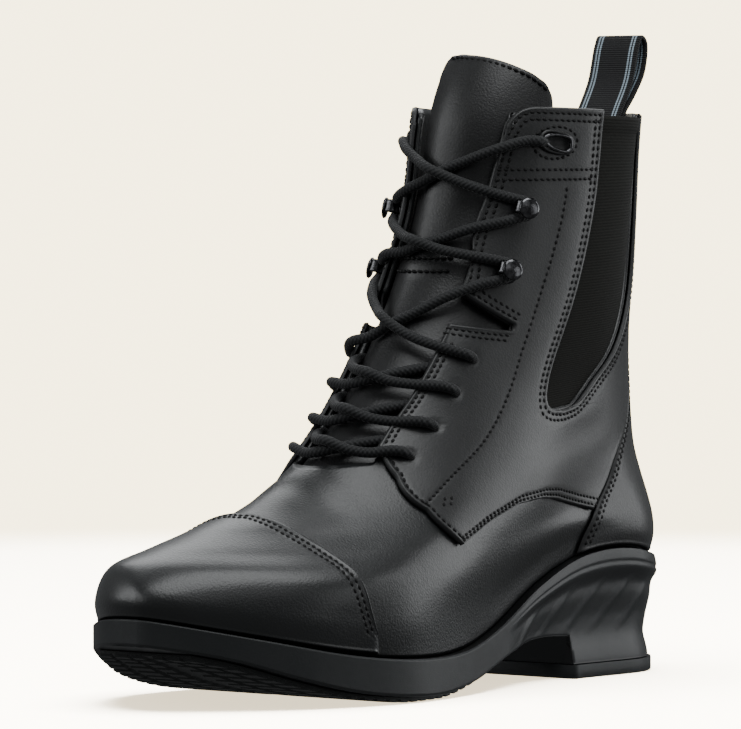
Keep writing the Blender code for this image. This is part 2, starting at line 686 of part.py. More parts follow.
def make_sole():
    """Moulded sole unit: ledge, smooth wall, arch and heel cup on a heel block."""
    heel = [0.0015, 0.010, 0.025, 0.045, 0.070, 0.100, 0.135, 0.170, 0.210, BREAST - BREAST_STEP, BREAST + BREAST_STEP]
    arch = [0.280, 0.315, 0.350, 0.390, 0.435, 0.480, 0.530]
    front = [0.590, 0.650, 0.710, 0.770, 0.825, 0.875, 0.915, 0.950, 0.975, 0.990, 0.998]
    stations = np.array(heel + arch + front)
    across = np.array([-1.0, -0.6, 0.0, 0.6, 1.0])
    downs = (0.06, 0.17, 0.24, 0.36, 0.48, 0.62, 0.78, 0.90)
    return slab("sole_unit", stations, across, 0.0, ledge_height, foot_height, downs, cup_inset, rubber)


def make_heel_lift():
    """Top piece under the heel block, flat on the ground."""
    stations = np.array([0.0015, 0.012, 0.035, 0.070, 0.110, 0.160, 0.205, BREAST - BREAST_STEP])
    across = np.array([-1.0, -0.5, 0.5, 1.0])

    def top(share):
        return np.full_like(share, LIFT_THICK)

    def ground(share):
        return np.zeros_like(share)

    return slab("heel_lift", stations, across, CUP[-1][1], top, ground, (), lambda s, d, z: 0.0 * s, lift_rubber)


def make_tread():
    """Forefoot tread under the sole unit: a plate with rows of cross lugs."""
    first, last, lugs = TREAD_FROM, TREAD_TO, TREAD_LUGS
    pitch = (last - first) / lugs
    stations = []
    raised = []
    for k in range(lugs):
        start = first + k * pitch
        for place, tall in ((0.00, 0), (0.20, 0), (0.24, 1), (0.96, 1)):
            stations.append(start + place * pitch)
            raised.append(tall)
    stations.append(last)
    raised.append(0)
    stations = np.array(stations)
    tall_row = np.array(raised, float)
    across = np.array([-1.0, -0.55, -0.12, -0.09, 0.09, 0.12, 0.55, 1.0])
    tall_across = np.array([1.0, 1.0, 1.0, 0.0, 0.0, 1.0, 1.0, 1.0])

    def top(share):
        return foot_height(share) - CLEAR

    def foot(share):
        tall = tall_row[:, None] * tall_across[None]
        return np.maximum(foot_height(share) - CLEAR - TREAD_PLATE - TREAD_LUG * tall, 0.0)

    return slab("outsole_tread", stations, across, TREAD_INSET, top, foot, (), lambda s, d, z: 0.0 * s, tread_rubber)


def make_insole():
    """Insole lying on the sole's top inside the upper."""
    tau = np.array([0.003, 0.02, 0.06, 0.12, 0.20, 0.28, 0.36, 0.44, 0.54, 0.64, 0.74, 0.82, 0.89, 0.94, 0.975, 0.996])
    across = np.array([-1.0, -0.5, 0.5, 1.0])
    margin = LEDGE + WALL + INSOLE_INSET
    share = margin / SOLE_LENGTH + (1 - 2 * margin / SOLE_LENGTH) * tau
    grid = np.repeat(tau[:, None], len(across), 1)
    outer = outline(grid, np.ones_like(grid), margin)
    inner = outline(grid, -np.ones_like(grid), margin)
    x = inner + (outer - inner) * (across[None] + 1) / 2
    y = HEEL_BACK - np.repeat(share[:, None], len(across), 1) * SOLE_LENGTH
    low = ledge_height(np.repeat(share[:, None], len(across), 1)) + SEAT
    top = np.stack([x, y, low + INSOLE_THICK], -1)
    under = np.stack([x, y, low], -1)
    keep = np.ones((len(tau) - 1, len(across)), bool)
    points, faces = two_sheets(top, under, keep)
    return solid("insole", points, faces, lining)


def tube(name, path, radius, sides, paint, home=boot, closed=False):
    """Round cord or wire along a path."""
    path = np.asarray(path, float)
    count = len(path)
    if closed:
        way = np.roll(path, -1, 0) - np.roll(path, 1, 0)
    else:
        way = np.gradient(path, axis=0)
    way /= np.linalg.norm(way, axis=1, keepdims=True)
    lift = np.tile((0.0, 0.35, 1.0), (count, 1))
    across = np.cross(way, lift)
    across /= np.linalg.norm(across, axis=1, keepdims=True)
    other = np.cross(way, across)
    turn = np.arange(sides) * 2 * math.pi / sides
    ring = path[:, None] + radius * (np.cos(turn)[None, :, None] * across[:, None]
                                     + np.sin(turn)[None, :, None] * other[:, None])
    points = ring.reshape(-1, 3)
    faces = []
    for i in range(count if closed else count - 1):
        for j in range(sides):
            k = (j + 1) % sides
            n = (i + 1) % count
            faces.append([i * sides + j, i * sides + k, n * sides + k, n * sides + j])
    if not closed:
        faces.append(list(range(sides)))
        faces.append(list(range((count - 1) * sides, count * sides)))
    return solid(name, points, faces, paint, home)


def lace_path(start, stop, lift, count=11):
    """A cord over the throat from one place to another, each a ring and a way round, with its middle raised."""
    share = np.linspace(0.0, 1.0, count)
    v = start[0] + (stop[0] - start[0]) * share
    w = start[1] + (stop[1] - start[1]) * share
    middle = side_round(v, facing_line(v), True) / 2 + facing_line(v) / 2
    over = 1 - blend(0.07, 0.135, np.abs(w - middle))
    rest = UNDER + OVERLAY + LACE_GAP + LACE_RADIUS
    return skin(v, w, rest + over * lift)


def make_lace():
    """Crossings of the lace, each two cords joined where they cross."""
    places = EYELETS + HOOKS + [LACE_TOP]
    for k in range(len(places) - 1):
        low = places[k]
        high = places[k + 1]
        low_v = low[0] + (0.24 if low in HOOKS else 0.10)
        high_v = high[0] - (0.24 if high in HOOKS else 0.10)
        low_w = low[1] + LACE_TRIM
        high_w = high[1] + LACE_TRIM
        under = lace_path((low_v, low_w), (high_v, side_round(high_v, high_w, True)), -0.0046)
        over = lace_path((low_v, side_round(low_v, low_w, True)), (high_v, high_w), -0.0012)
        name = "lace_crossing_" + str(k + 1)
        main = tube(name, under, LACE_RADIUS, 6, cord)
        other = tube(name + "_over", over, LACE_RADIUS * 0.985, 6, None, cutters)
        other.hide_render = True
        other.display_type = "WIRE"
        join = main.modifiers.new("join", "BOOLEAN")
        join.operation = "UNION"
        join.solver = "EXACT"
        join.object = other


def frame_at(place, inner_side, offset):
    """Origin on the upper with three axes: along the facing, round the leg, and outward."""
    v, w = place
    w = side_round(v, w, inner_side)
    here = skin(np.array(v), np.array(w), np.array(offset))
    up = skin(np.array(v + 0.05), np.array(w), np.array(offset)) - here
    up /= np.linalg.norm(up)
    side = skin(np.array(v), np.array(w + 0.01), np.array(offset)) - here
    side = side if not inner_side else -side
    side -= up * np.dot(side, up)
    side /= np.linalg.norm(side)
    out = np.cross(up, side)
    if inner_side:
        out = -out
    return here, up, side, out


def ribbon(name, centre, along, normal, width, thick, paint):
    """Flat strip along a path, with its width at each step."""
    centre = np.asarray(centre, float)
    spread = np.linspace(-1.0, 1.0, 3)
    row = centre[:, None] + along[None, None] * (np.asarray(width)[:, None, None] * spread[None, :, None] / 2)
    top = row + normal[:, None] * thick / 2
    under = row - normal[:, None] * thick / 2
    keep = np.ones((len(centre) - 1, 3), bool)
    points, faces = two_sheets(top, under, keep)
    return solid(name, points, faces, paint)


def make_hook(name, place, inner_side):
    """Speed hook: a strip riveted flat, curled over so that its mouth faces away from the throat."""
    here, up, side, out = frame_at(place, inner_side, UNDER + OVERLAY + 2 * CLEAR)
    reach, curl, thick = HOOK_REACH, HOOK_CURL, HOOK_THICK
    flat = [(-reach, 0.0), (-0.4 * reach, 0.0), (0.2 * reach, 0.0)]
    turn = np.radians([-60, -20, 20, 60, 90])
    bend = [(0.2 * reach + curl * math.cos(t), curl + curl * math.sin(t)) for t in turn]
    lip = [(-0.35 * reach, 2 * curl + 0.0001), (-0.9 * reach, 2 * curl - 0.0002)]
    route = np.array(flat + bend + lip)
    width = np.array([0.0034, 0.0066, 0.0070, 0.0062, 0.0056, 0.0056, 0.0062, 0.0070, 0.0072, 0.0040])
    centre = here + side[None] * route[:, :1] + out[None] * (route[:, 1:] + thick / 2)
    way = np.gradient(route, axis=0)
    way /= np.linalg.norm(way, axis=1, keepdims=True)
    normal = -side[None] * way[:, 1:] + out[None] * way[:, :1]
    return ribbon(name, centre, up, normal, width, thick, steel)


def make_lace_ring(name, inner_side):
    """Wire ring lying in the stitched slot at the top of the facing."""
    wire, half_long, half_wide = WIRE_RADIUS, RING_LONG, RING_WIDE
    here, up, side, out = frame_at(RING_PLACE, inner_side, UNDER + OVERLAY + 2 * CLEAR + wire)
    turn = np.arange(14) * 2 * math.pi / 14
    path = here + side[None] * (half_long * np.cos(turn))[:, None] + up[None] * (half_wide * np.sin(turn))[:, None]
    return tube(name, path, wire, 5, steel, closed=True)


def make_pull_loop():
    """Webbing loop sewn inside the back of the collar."""
    back = skin(np.array(9.6), np.array(0.0), np.array(-WALL - LOOP_SINK))
    along = np.array((1.0, 0.0, 0.0))
    route = np.array([(-0.0006, -0.010), (-0.0002, 0.002), (0.0030, 0.0100), (0.0105, 0.023), (0.0145, 0.0360),
                      (0.0163, 0.0390), (0.0187, 0.0375), (0.0178, 0.0270), (0.0118, 0.0180), (0.0062, 0.0115)])
    level = skin(np.array(10.0), np.array(0.0), np.array(0.0))[2] - 0.010
    centre = np.array([(0.0, back[1] + step, level + rise) for step, rise in route])
    way = np.gradient(centre, axis=0)
    way /= np.linalg.norm(way, axis=1, keepdims=True)
    normal = np.cross(along, way)
    width = np.full(len(centre), LOOP_WIDTH)
    return ribbon("pull_loop", centre, along, normal, width, LOOP_THICK, webbing)


make_sole()
make_heel_lift()
make_tread()
make_insole()
make_upper()
make_toe_cap()
make_quarter("quarter_outer", False)
make_quarter("quarter_inner", True)
make_back_stay()
make_gore("gore_outer", False)
make_gore("gore_inner", True)
make_tongue()
make_lace()
for k, place in enumerate(HOOKS):
    make_hook("hook_outer_" + str(k + 1), place, False)
    make_hook("hook_inner_" + str(k + 1), place, True)
make_lace_ring("lace_ring_outer", False)
make_lace_ring("lace_ring_inner", True)
make_pull_loop()
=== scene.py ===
import math
import bpy
import numpy as np
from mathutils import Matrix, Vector


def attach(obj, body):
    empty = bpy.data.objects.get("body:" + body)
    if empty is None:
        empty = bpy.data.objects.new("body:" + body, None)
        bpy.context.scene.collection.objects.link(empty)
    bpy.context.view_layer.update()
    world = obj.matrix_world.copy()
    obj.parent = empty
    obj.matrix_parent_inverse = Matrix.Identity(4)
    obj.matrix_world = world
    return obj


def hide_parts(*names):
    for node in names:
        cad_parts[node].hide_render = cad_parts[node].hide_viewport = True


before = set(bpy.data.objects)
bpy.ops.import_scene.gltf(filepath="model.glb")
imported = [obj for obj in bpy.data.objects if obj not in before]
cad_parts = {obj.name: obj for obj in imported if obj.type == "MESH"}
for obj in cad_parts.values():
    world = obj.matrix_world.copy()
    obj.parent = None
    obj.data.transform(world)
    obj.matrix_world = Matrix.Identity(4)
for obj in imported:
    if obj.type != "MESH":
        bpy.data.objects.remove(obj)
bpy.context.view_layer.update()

# Sole unit
# One moulding of dark grey rubber: a plain wall round the forefoot, an arched waist, and a heel cup with a
# rolled rim and slanting ribs. The lasted upper is cemented to its ledge.
SOLE_LENGTH = 0.266
BALL_WIDTH = 0.100
COLLAR_HEIGHT = 0.197
HEEL_BACK = 0.030
LEDGE = 0.0035
FEATHER_BULGE = 0.0012
CLEAR = 0.0003
SEAT = 0.0006
LIFT_THICK = 0.0050
HEEL_ROUND, TOE_ROUND = 0.12, 0.20
HEEL_POWER, TOE_POWER = 2.10, 2.25
BREAST, BREAST_STEP = 0.2475, 0.0003
NECK_DOWN, NECK_RISE = 0.80, 0.0012
WALL_EASE, HEEL_EASE = 0.0006, 0.0002
RIM_GROOVE, RIM_PLACE, RIM_REACH = 0.00035, 0.115, 0.03
CUP_END, CUP_FADE = 0.30, 0.14
RIB_DEPTH, RIB_PITCH, RIB_SLOPE, RIB_FROM, RIB_TO = 0.0005, 0.0150, 0.95, 0.06, 0.42


def table(columns, rows):
    """A table as a dictionary of arrays, one for each named column."""
    return dict(zip(columns, np.array(rows, float).T))


plan = table(("along", "outer", "inner"), [
    (0.00, 0.315, 0.315), (0.12, 0.325, 0.325), (0.26, 0.330, 0.300), (0.42, 0.380, 0.270),
    (0.56, 0.465, 0.345), (0.68, 0.505, 0.455), (0.80, 0.445, 0.475), (0.92, 0.320, 0.420),
    (1.00, 0.200, 0.360)])
side_view = table(("along", "ledge"), [
    (0.000, 0.193), (0.060, 0.211), (0.140, 0.228), (0.240, 0.218), (0.340, 0.173), (0.440, 0.112),
    (0.540, 0.079), (0.660, 0.074), (0.780, 0.089), (0.900, 0.122), (1.000, 0.155)])
foot_view = table(("along", "height"), [
    (0.248, 0.077), (0.300, 0.080), (0.350, 0.077), (0.410, 0.063), (0.515, 0.026), (0.590, 0.0112),
    (0.670, 0.0112), (0.780, 0.028), (0.850, 0.052), (0.920, 0.084), (1.000, 0.110)])
cup = table(("down", "inset"), [
    (0.00, 0.0005), (0.06, 0.0000), (0.17, 0.0001), (0.23, 0.0014), (0.40, 0.0024), (0.60, 0.0040),
    (0.76, 0.0046), (0.90, 0.0034), (1.00, 0.0028)])


def cubic(xs, ys, x):
    """Smooth curve through the points (xs, ys) read at x, in cubic pieces that take their slopes from both
    neighbours."""
    xs, ys = np.asarray(xs, float), np.asarray(ys, float)
    step = np.diff(xs)
    slope = np.diff(ys) / step
    tangent = np.empty_like(ys)
    tangent[1:-1] = (slope[:-1] * step[1:] + slope[1:] * step[:-1]) / (step[:-1] + step[1:])
    tangent[0] = 1.5 * slope[0] - 0.5 * tangent[1]
    tangent[-1] = 1.5 * slope[-1] - 0.5 * tangent[-2]
    x = np.asarray(x, float)
    i = np.clip(np.searchsorted(xs, x) - 1, 0, len(xs) - 2)
    t = (x - xs[i]) / step[i]
    first = (1 + 2 * t) * (1 - t) ** 2 * ys[i] + t * (1 - t) ** 2 * step[i] * tangent[i]
    return first + t * t * (3 - 2 * t) * ys[i + 1] + t * t * (t - 1) * step[i] * tangent[i + 1]


def blend(edge0, edge1, x):
    """Smooth rise from 0 at edge0 to 1 at edge1: 3t^2 - 2t^3 of the share t between them."""
    t = np.clip((np.asarray(x, float) - edge0) / (edge1 - edge0), 0.0, 1.0)
    return t * t * (3 - 2 * t)


def hump(x, middle, reach):
    """Soft ridge of height 1 at middle that has died away at reach on both sides: a squared cosine."""
    return np.cos(np.clip((np.asarray(x, float) - middle) / reach, -1.0, 1.0) * math.pi / 2) ** 2


def unit(vectors):
    """The vectors brought to length 1."""
    return vectors / np.linalg.norm(vectors, axis=-1, keepdims=True)


def gathered(t, g):
    """Shares from 0 to 1 drawn towards both ends by g: t - g sin(2 pi t) / 2 pi."""
    return t - g * np.sin(2 * np.pi * t) / (2 * np.pi)


def end_round(share, back, front, back_power=2.0, front_power=2.0):
    """Width factor that closes both ends like a superellipse: the power root of 1 - distance to the power."""
    b = np.clip((back - share) / back, 0.0, 1.0)
    f = np.clip((share - (1 - front)) / front, 0.0, 1.0)
    return (1 - b ** back_power) ** (1 / back_power) * (1 - f ** front_power) ** (1 / front_power)


def outline(share, side, inset=0.0):
    """Sideways place of the sole's edge at a share of its length: half width times the end rounding."""
    outer, inner = (cubic(plan["along"], plan[name], share) for name in ("outer", "inner"))
    half = np.where(side > 0, outer, inner)
    return side * (half * BALL_WIDTH - inset) * end_round(share, HEEL_ROUND, TOE_ROUND, HEEL_POWER, TOE_POWER)


def ledge_height(share):
    """Height of the sole's top edge at a share of its length."""
    return cubic(side_view["along"], side_view["ledge"], np.clip(share, 0.0, 1.0)) * COLLAR_HEIGHT


def foot_height(share):
    """Height of the foot of the wall: arch and toe spring, with the heel block behind the breast."""
    front = cubic(foot_view["along"], foot_view["height"], np.maximum(share, BREAST)) * COLLAR_HEIGHT
    return np.where(share < BREAST, LIFT_THICK + CLEAR, front)


def mesh_piece(name, points, faces, paints, slot_name, nodes=(), smooth=True, seam=None, kinds=None, uv=None):
    """A piece from points and faces, with its paints and the solids that it stands for. slot_name is not
    used.
    seam tells how much painted shade each point gets, darkening and dulling stitched valleys, holes and
    edges, kinds which paint each face has."""
    mesh = bpy.data.meshes.new(name)
    mesh.from_pydata(np.asarray(points, float).tolist(), [], [list(f) for f in faces])
    mesh.validate()
    mesh.polygons.foreach_set("use_smooth", np.full(len(mesh.polygons), smooth))
    if seam is not None:
        mesh.attributes.new("seam", "FLOAT", "POINT").data.foreach_set("value", np.asarray(seam, np.float32))
    for paint in paints:
        mesh.materials.append(paint)
    if kinds is not None:
        mesh.polygons.foreach_set("material_index", np.asarray(kinds, np.int32))
    if uv is not None:
        corner = np.empty(len(mesh.loops), np.int32)
        mesh.loops.foreach_get("vertex_index", corner)
        layer = mesh.uv_layers.new(name="UVMap")
        layer.data.foreach_set("uv", np.asarray(uv, np.float32)[corner].ravel())
    mesh.update()
    piece = bpy.data.objects.new(name, mesh)
    bpy.context.scene.collection.objects.link(piece)
    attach(piece, "root")
    if nodes:
        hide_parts(*nodes)


class Socket:
    """A socket of a material, so that shader maths reads as arithmetic."""

    def __init__(self, tree, socket):
        self.tree = tree
        self.socket = socket

    def node(self, kind, settings=None, output=0, **values):
        """A new node with settings, and a value or a link for each socket named, or numbered as s0, s1."""
        made = self.tree.nodes.new(kind)
        for key, value in (settings or {}).items():
            setattr(made, key, value)
        for key, value in values.items():
            target = made.inputs[int(key[1:])] if key[0] == "s" and key[1:].isdigit() else made.inputs[key]
            if isinstance(value, Socket):
                self.tree.links.new(value.socket, target)
            else:
                target.default_value = value
        return Socket(self.tree, made.outputs[output])

    def maths(self, operation, second=0.0, first=None):
        """This value put through an operation, alone or with a second value, or after a first one."""
        first = self if first is None else first
        return self.node("ShaderNodeMath", {"operation": operation}, s0=first, s1=second)

    def __add__(self, other):
        return self.maths("ADD", other)

    def __sub__(self, other):
        return self.maths("SUBTRACT", other)

    def __rsub__(self, other):
        return self.maths("SUBTRACT", self, other)

    def __mul__(self, other):
        return self.maths("MULTIPLY", other)

    def __truediv__(self, other):
        return self.maths("DIVIDE", other)

    __radd__ = __add__
    __rmul__ = __mul__

    def rise(self, low, high):
        """Smooth step from 0 at low to 1 at high."""
        return self.node("ShaderNodeMapRange", {"interpolation_type": "SMOOTHSTEP"}, **{
            "Value": self, "From Min": low, "From Max": high})

    def noise(self, scale, detail=2.0, rough=0.5):
        """Cloudy noise from 0 to 1 on these coordinates."""
        return self.node("ShaderNodeTexNoise", Vector=self, Scale=scale, Detail=detail, Roughness=rough)

    def cells(self, scale):
        """Distance to the middle of the nearest cell on these coordinates, with soft borders."""
        soft = {"feature": "SMOOTH_F1"}
        return self.node("ShaderNodeTexVoronoi", soft, Vector=self, Scale=scale, Smoothness=0.6)

    def part(self, axis):
        """One of the three numbers of a vector."""
        return self.node("ShaderNodeSeparateXYZ", None, axis, s0=self)

    def wave(self, pitch):
        """Sine of this value with the given pitch."""
        return (self * (2 * math.pi / pitch)).maths("SINE")

    def shades(self, dark, light):
        """Colour between two shades, each three numbers or a socket, mixed by this value."""
        dark, light = (shade if isinstance(shade, Socket) else (*shade, 1.0) for shade in (dark, light))
        return self.node("ShaderNodeMix", {"data_type": "RGBA"}, 2, s0=self, s6=dark, s7=light)


class Finish:
    """A new material with its shader, its object coordinates and a bump that its patterns feed."""

    def __init__(self, name, **fixed):
        self.material = bpy.data.materials.new(name)
        self.material.use_nodes = True
        self.tree = self.material.node_tree
        self.shader = self.tree.nodes["Principled BSDF"]
        for key, value in fixed.items():
            self.shader.inputs[key.replace("_", " ").title().replace("Ior", "IOR")].default_value = value
        self.first = Socket(self.tree, None)
        self.place = self.first.node("ShaderNodeTexCoord", None, "Object")
        self.uv = self.first.node("ShaderNodeTexCoord", None, "UV")

    def value(self, name):
        return self.first.node("ShaderNodeAttribute", {"attribute_name": name}, "Fac")

    def set(self, name, value):
        self.tree.links.new(value.socket, self.shader.inputs[name])

    def bump(self, height, distance):
        self.set("Normal", self.first.node("ShaderNodeBump", Height=height, Distance=distance, Strength=1.0))


def neck_height(share):
    """Height where the waist's wall ends, kept level behind the breast: just above the foot ahead of it."""
    return foot_height(np.maximum(share, BREAST)) + NECK_RISE


def moulded(stations, across, inset, top, foot, downs, shape, neck=None):
    """A moulded layer on the sole's plan. Its top and underside are grids between the two edges, and its wall
    runs round the perimeter, each level moved in along the perimeter's normal by shape(share, down, height).
    With a neck, the levels above NECK_DOWN of the way down share out the wall above the neck's height."""
    share = np.repeat(stations[:, None], len(across), 1)
    outer = outline(share, np.ones_like(share), inset)
    inner = outline(share, -np.ones_like(share), inset)
    x = inner + (outer - inner) * (across[None] + 1) / 2
    flat = np.stack([x.ravel(), (HEEL_BACK - share * SOLE_LENGTH).ravel()], -1)
    rows, columns = share.shape
    number = np.arange(rows * columns).reshape(rows, columns)
    loop = np.concatenate([number[:, -1], number[-1, -2::-1], number[-2::-1, 0], number[0, 1:-1]])
    edge = flat[loop]
    way = np.roll(edge, -1, 0) - np.roll(edge, 1, 0)
    inward = np.stack([-way[:, 1], way[:, 0]], -1) / np.linalg.norm(way, axis=1, keepdims=True)
    inward *= -np.sign(np.sum(inward * (edge - edge.mean(0))))
    loop_share = share.ravel()[loop]
    high, low = top(share).ravel(), foot(share).ravel()
    low_flat = flat.copy()
    low_flat[loop] = edge + inward * shape(loop_share, 1.0, low[loop])[:, None]
    high_flat = flat.copy()
    high_flat[loop] = edge + inward * shape(loop_share, 0.0, high[loop])[:, None]
    count = rows * columns
    points = [np.column_stack([high_flat, high]), np.column_stack([low_flat, low])]
    cell = np.stack([number[:-1, :-1], number[:-1, 1:], number[1:, 1:], number[1:, :-1]], -1).reshape(-1, 4)
    faces = [cell[:, ::-1], cell + count]
    levels = [loop]
    total = 2 * count
    for down in downs:
        z = high[loop] + (low[loop] - high[loop]) * down
        if neck:
            at_neck, past = neck(loop_share), (down - NECK_DOWN) / (1 - NECK_DOWN)
            z = high[loop] + (at_neck - high[loop]) * down / NECK_DOWN
            z = np.where(past > 0, at_neck + (low[loop] - at_neck) * past, z)
        points.append(np.column_stack([edge + inward * shape(loop_share, down, z)[:, None], z]))
        levels.append(np.arange(total, total + len(loop)))
        total += len(loop)
    levels.append(loop + count)
    for a, b in zip(levels[:-1], levels[1:]):
        faces.append(np.stack([a, b, np.roll(b, -1), np.roll(a, -1)], -1))
    return np.concatenate(points), np.concatenate(faces)


def sole_wall(share, down, z):
    """How far the wall stands in: small roundings at its top and foot, and at the heel the cup's own profile
    by height, with a fine groove in the rim. Below it the wall is sunk between narrow ribs, which follow the
    twelfth power of a sine of height plus slope times length."""
    heel = 1 - blend(CUP_END, CUP_END + CUP_FADE, share)
    fall = np.clip((ledge_height(share) - z) / (ledge_height(share) - LIFT_THICK), 0.0, 1.0)
    plain = WALL_EASE * (1 - blend(0.0, 0.05, down)) ** 2
    basic = cubic(cup["down"], cup["inset"], fall) * heel + plain * (1 - heel)
    foot_ease = WALL_EASE + (HEEL_EASE - WALL_EASE) * heel
    basic = basic + foot_ease * blend(NECK_RISE, 0.0, z - foot_height(share)) ** 2
    basic = basic + RIM_GROOVE * heel * hump(fall, RIM_PLACE, RIM_REACH)
    zone = blend(RIB_FROM, RIB_FROM + 0.05, share) * (1 - blend(RIB_TO - 0.05, RIB_TO, share))
    zone = zone * blend(0.20, 0.30, fall) * (1 - blend(0.55, 0.78, fall))
    phase = (z + RIB_SLOPE * share * SOLE_LENGTH) / RIB_PITCH
    return basic + RIB_DEPTH * zone * (1 - np.sin(np.pi * phase) ** 12)


def rubber_finish(name, dark, light, roughness, grain):
    """Moulded rubber: faint clouding in its colour, a satin skin and a fine texture from the mould."""
    made = Finish(name, specular_ior_level=0.42)
    cloud = made.place.noise(38.0, 3.0)
    made.set("Base Color", cloud.rise(0.3, 0.7).shades(dark, light))
    made.set("Roughness", roughness + 0.10 * made.place.noise(90.0, 3.0) - 0.05)
    made.bump(made.place.noise(2600.0, 3.0, 0.6) + 0.5 * made.place.noise(420.0, 2.0), grain)
    return made.material


sole_rubber = rubber_finish("sole_rubber", (0.021, 0.023, 0.024), (0.028, 0.030, 0.031), 0.43, 0.00005)
heel_ends = np.array([0.0008, 0.003, 0.007, 0.012, 0.018, 0.026, 0.035])
toe_ends = 1 - np.array([0.034, 0.027, 0.021, 0.015, 0.010, 0.006, 0.003, 0.0008])
sole_rows = np.concatenate([heel_ends, np.linspace(0.045, BREAST - BREAST_STEP, 40),
                            np.linspace(BREAST + BREAST_STEP, 0.95, 110), toe_ends])
sole_levels = np.concatenate([
    np.linspace(0.005, 0.26, 20), np.linspace(0.28, NECK_DOWN, 20), np.linspace(0.82, 0.99, 9)])
points, faces = moulded(
    sole_rows, np.linspace(-1, 1, 9), 0.0, ledge_height, foot_height, sole_levels, sole_wall, neck_height)
mesh_piece("sole_unit_moulding", points, faces, [sole_rubber], "rubber", ["sole_unit"])

# Heel lift
# A separate top piece of harder rubber under the heel block, cemented on flush with the block's foot and
# flat on the ground, with its lower edge eased.
lift_finish = rubber_finish("heel_lift_rubber", (0.018, 0.020, 0.021), (0.024, 0.026, 0.027), 0.50, 0.00006)
LIFT_INSET = 0.0028
lift_rows = np.concatenate([heel_ends, np.linspace(0.045, BREAST - BREAST_STEP, 20)])
points, faces = moulded(
    lift_rows, np.linspace(-1, 1, 5), LIFT_INSET, lambda s: LIFT_THICK + 0.0 * s, lambda s: 0.0 * s,
    np.array([0.04, 0.08, 0.5, 0.9, 0.95, 0.98]),
    lambda s, d, z: 0.0001 * (1 - blend(0.0, 0.08, d)) + WALL_EASE * blend(0.90, 1.0, d) ** 2 + 0.0 * s)
mesh_piece("heel_lift_piece", points, faces, [lift_finish], "lift_rubber", ["heel_lift"])

# Outsole tread
# The forefoot's walking face: a thin plate moulded with rows of cross lugs, parted along the middle by a
# channel, and set in from the wall.
tread_finish = rubber_finish("tread_rubber_face", (0.009, 0.010, 0.010), (0.015, 0.016, 0.016), 0.55, 0.00012)
TREAD_FROM, TREAD_TO, TREAD_LUGS, TREAD_INSET = 0.500, 0.955, 22, 0.0045
TREAD_PLATE, TREAD_LUG = 0.0010, 0.0009
pitch = (TREAD_TO - TREAD_FROM) / TREAD_LUGS
lug_places = np.array([0.0, 0.22, 0.30, 0.86, 0.94])
lug_tall = np.array([0.0, 0.0, 1.0, 1.0, 0.0])
tread_rows = (TREAD_FROM + pitch * (np.arange(TREAD_LUGS)[:, None] + lug_places[None])).ravel()
tread_rows = np.append(tread_rows, TREAD_TO)
tall_rows = np.append(np.tile(lug_tall, TREAD_LUGS), 0.0)
half_across = [0.10, 0.13, 0.32, 0.34, 0.40, 0.42, 0.68, 0.70, 0.76, 0.78, 1.0]
tread_across = np.array([-q for q in half_across[::-1]] + half_across)
tall_across = np.tile([1.0, 1.0, 0.0, 0.0], 6)[:22]


def tread_foot(share):
    """Underside of the tread: the plate, lowered by a lug's height where a lug row and a lug column meet."""
    tall = tall_rows[:, None] * tall_across[None]
    return np.maximum(foot_height(share) - CLEAR - TREAD_PLATE - TREAD_LUG * tall, 0.0)


points, faces = moulded(
    tread_rows, tread_across, TREAD_INSET, lambda s: foot_height(s) - CLEAR, tread_foot, np.array([0.5]),
    lambda s, d, z: 0.0 * s)
mesh_piece("outsole_tread_face", points, faces, [tread_finish], "tread_rubber", ["outsole_tread"], False)

# Insole
# A sock of brushed cloth over a thin foam board, die-cut to the last's bottom and laid loose inside.
WALL = 0.0020
INSOLE_THICK = 0.0025
INSOLE_MARGIN = LEDGE + WALL + 0.0020


def closed_sheet(top, under, keep=None, wrap=False):
    """Points and faces of a thin solid between two grids of points, walled along each edge of the kept cells.
    The third value tells the faces of the outer grid (0), the inner grid (1) and the walls (2), the last one
    which points are in use."""
    rows, columns = top.shape[:2]
    if keep is None:
        keep = np.ones((rows - 1, columns - 1), bool)
    number = np.arange(rows * columns).reshape(rows, columns)
    count = rows * columns
    after = np.roll(number, -1, 1) if wrap else number[:, 1:]
    here = number if wrap else number[:, :-1]
    cells = np.stack([here[:-1], after[:-1], after[1:], here[1:]], -1)
    kept = cells[keep]
    above = np.zeros_like(keep)
    below = np.zeros_like(keep)
    above[:-1] = keep[1:]
    below[1:] = keep[:-1]
    if wrap:
        right, left = np.roll(keep, -1, 1), np.roll(keep, 1, 1)
    else:
        right, left = np.zeros_like(keep), np.zeros_like(keep)
        right[:, :-1], left[:, 1:] = keep[:, 1:], keep[:, :-1]
    faces = [kept, kept[:, ::-1] + count]
    for k, beside in enumerate((below, right, above, left)):
        open_cells = cells[keep & ~beside]
        a, b = open_cells[:, k], open_cells[:, (k + 1) % 4]
        faces.append(np.stack([b, a, a + count, b + count], -1))
    kinds = np.concatenate([np.full(len(f), min(i, 2)) for i, f in enumerate(faces)])
    points = np.concatenate([top.reshape(-1, 3), under.reshape(-1, 3)])
    faces = np.concatenate(faces)
    used = np.zeros(len(points), bool)
    used[faces.ravel()] = True
    renumber = np.cumsum(used) - 1
    return points[used], renumber[faces], kinds, used


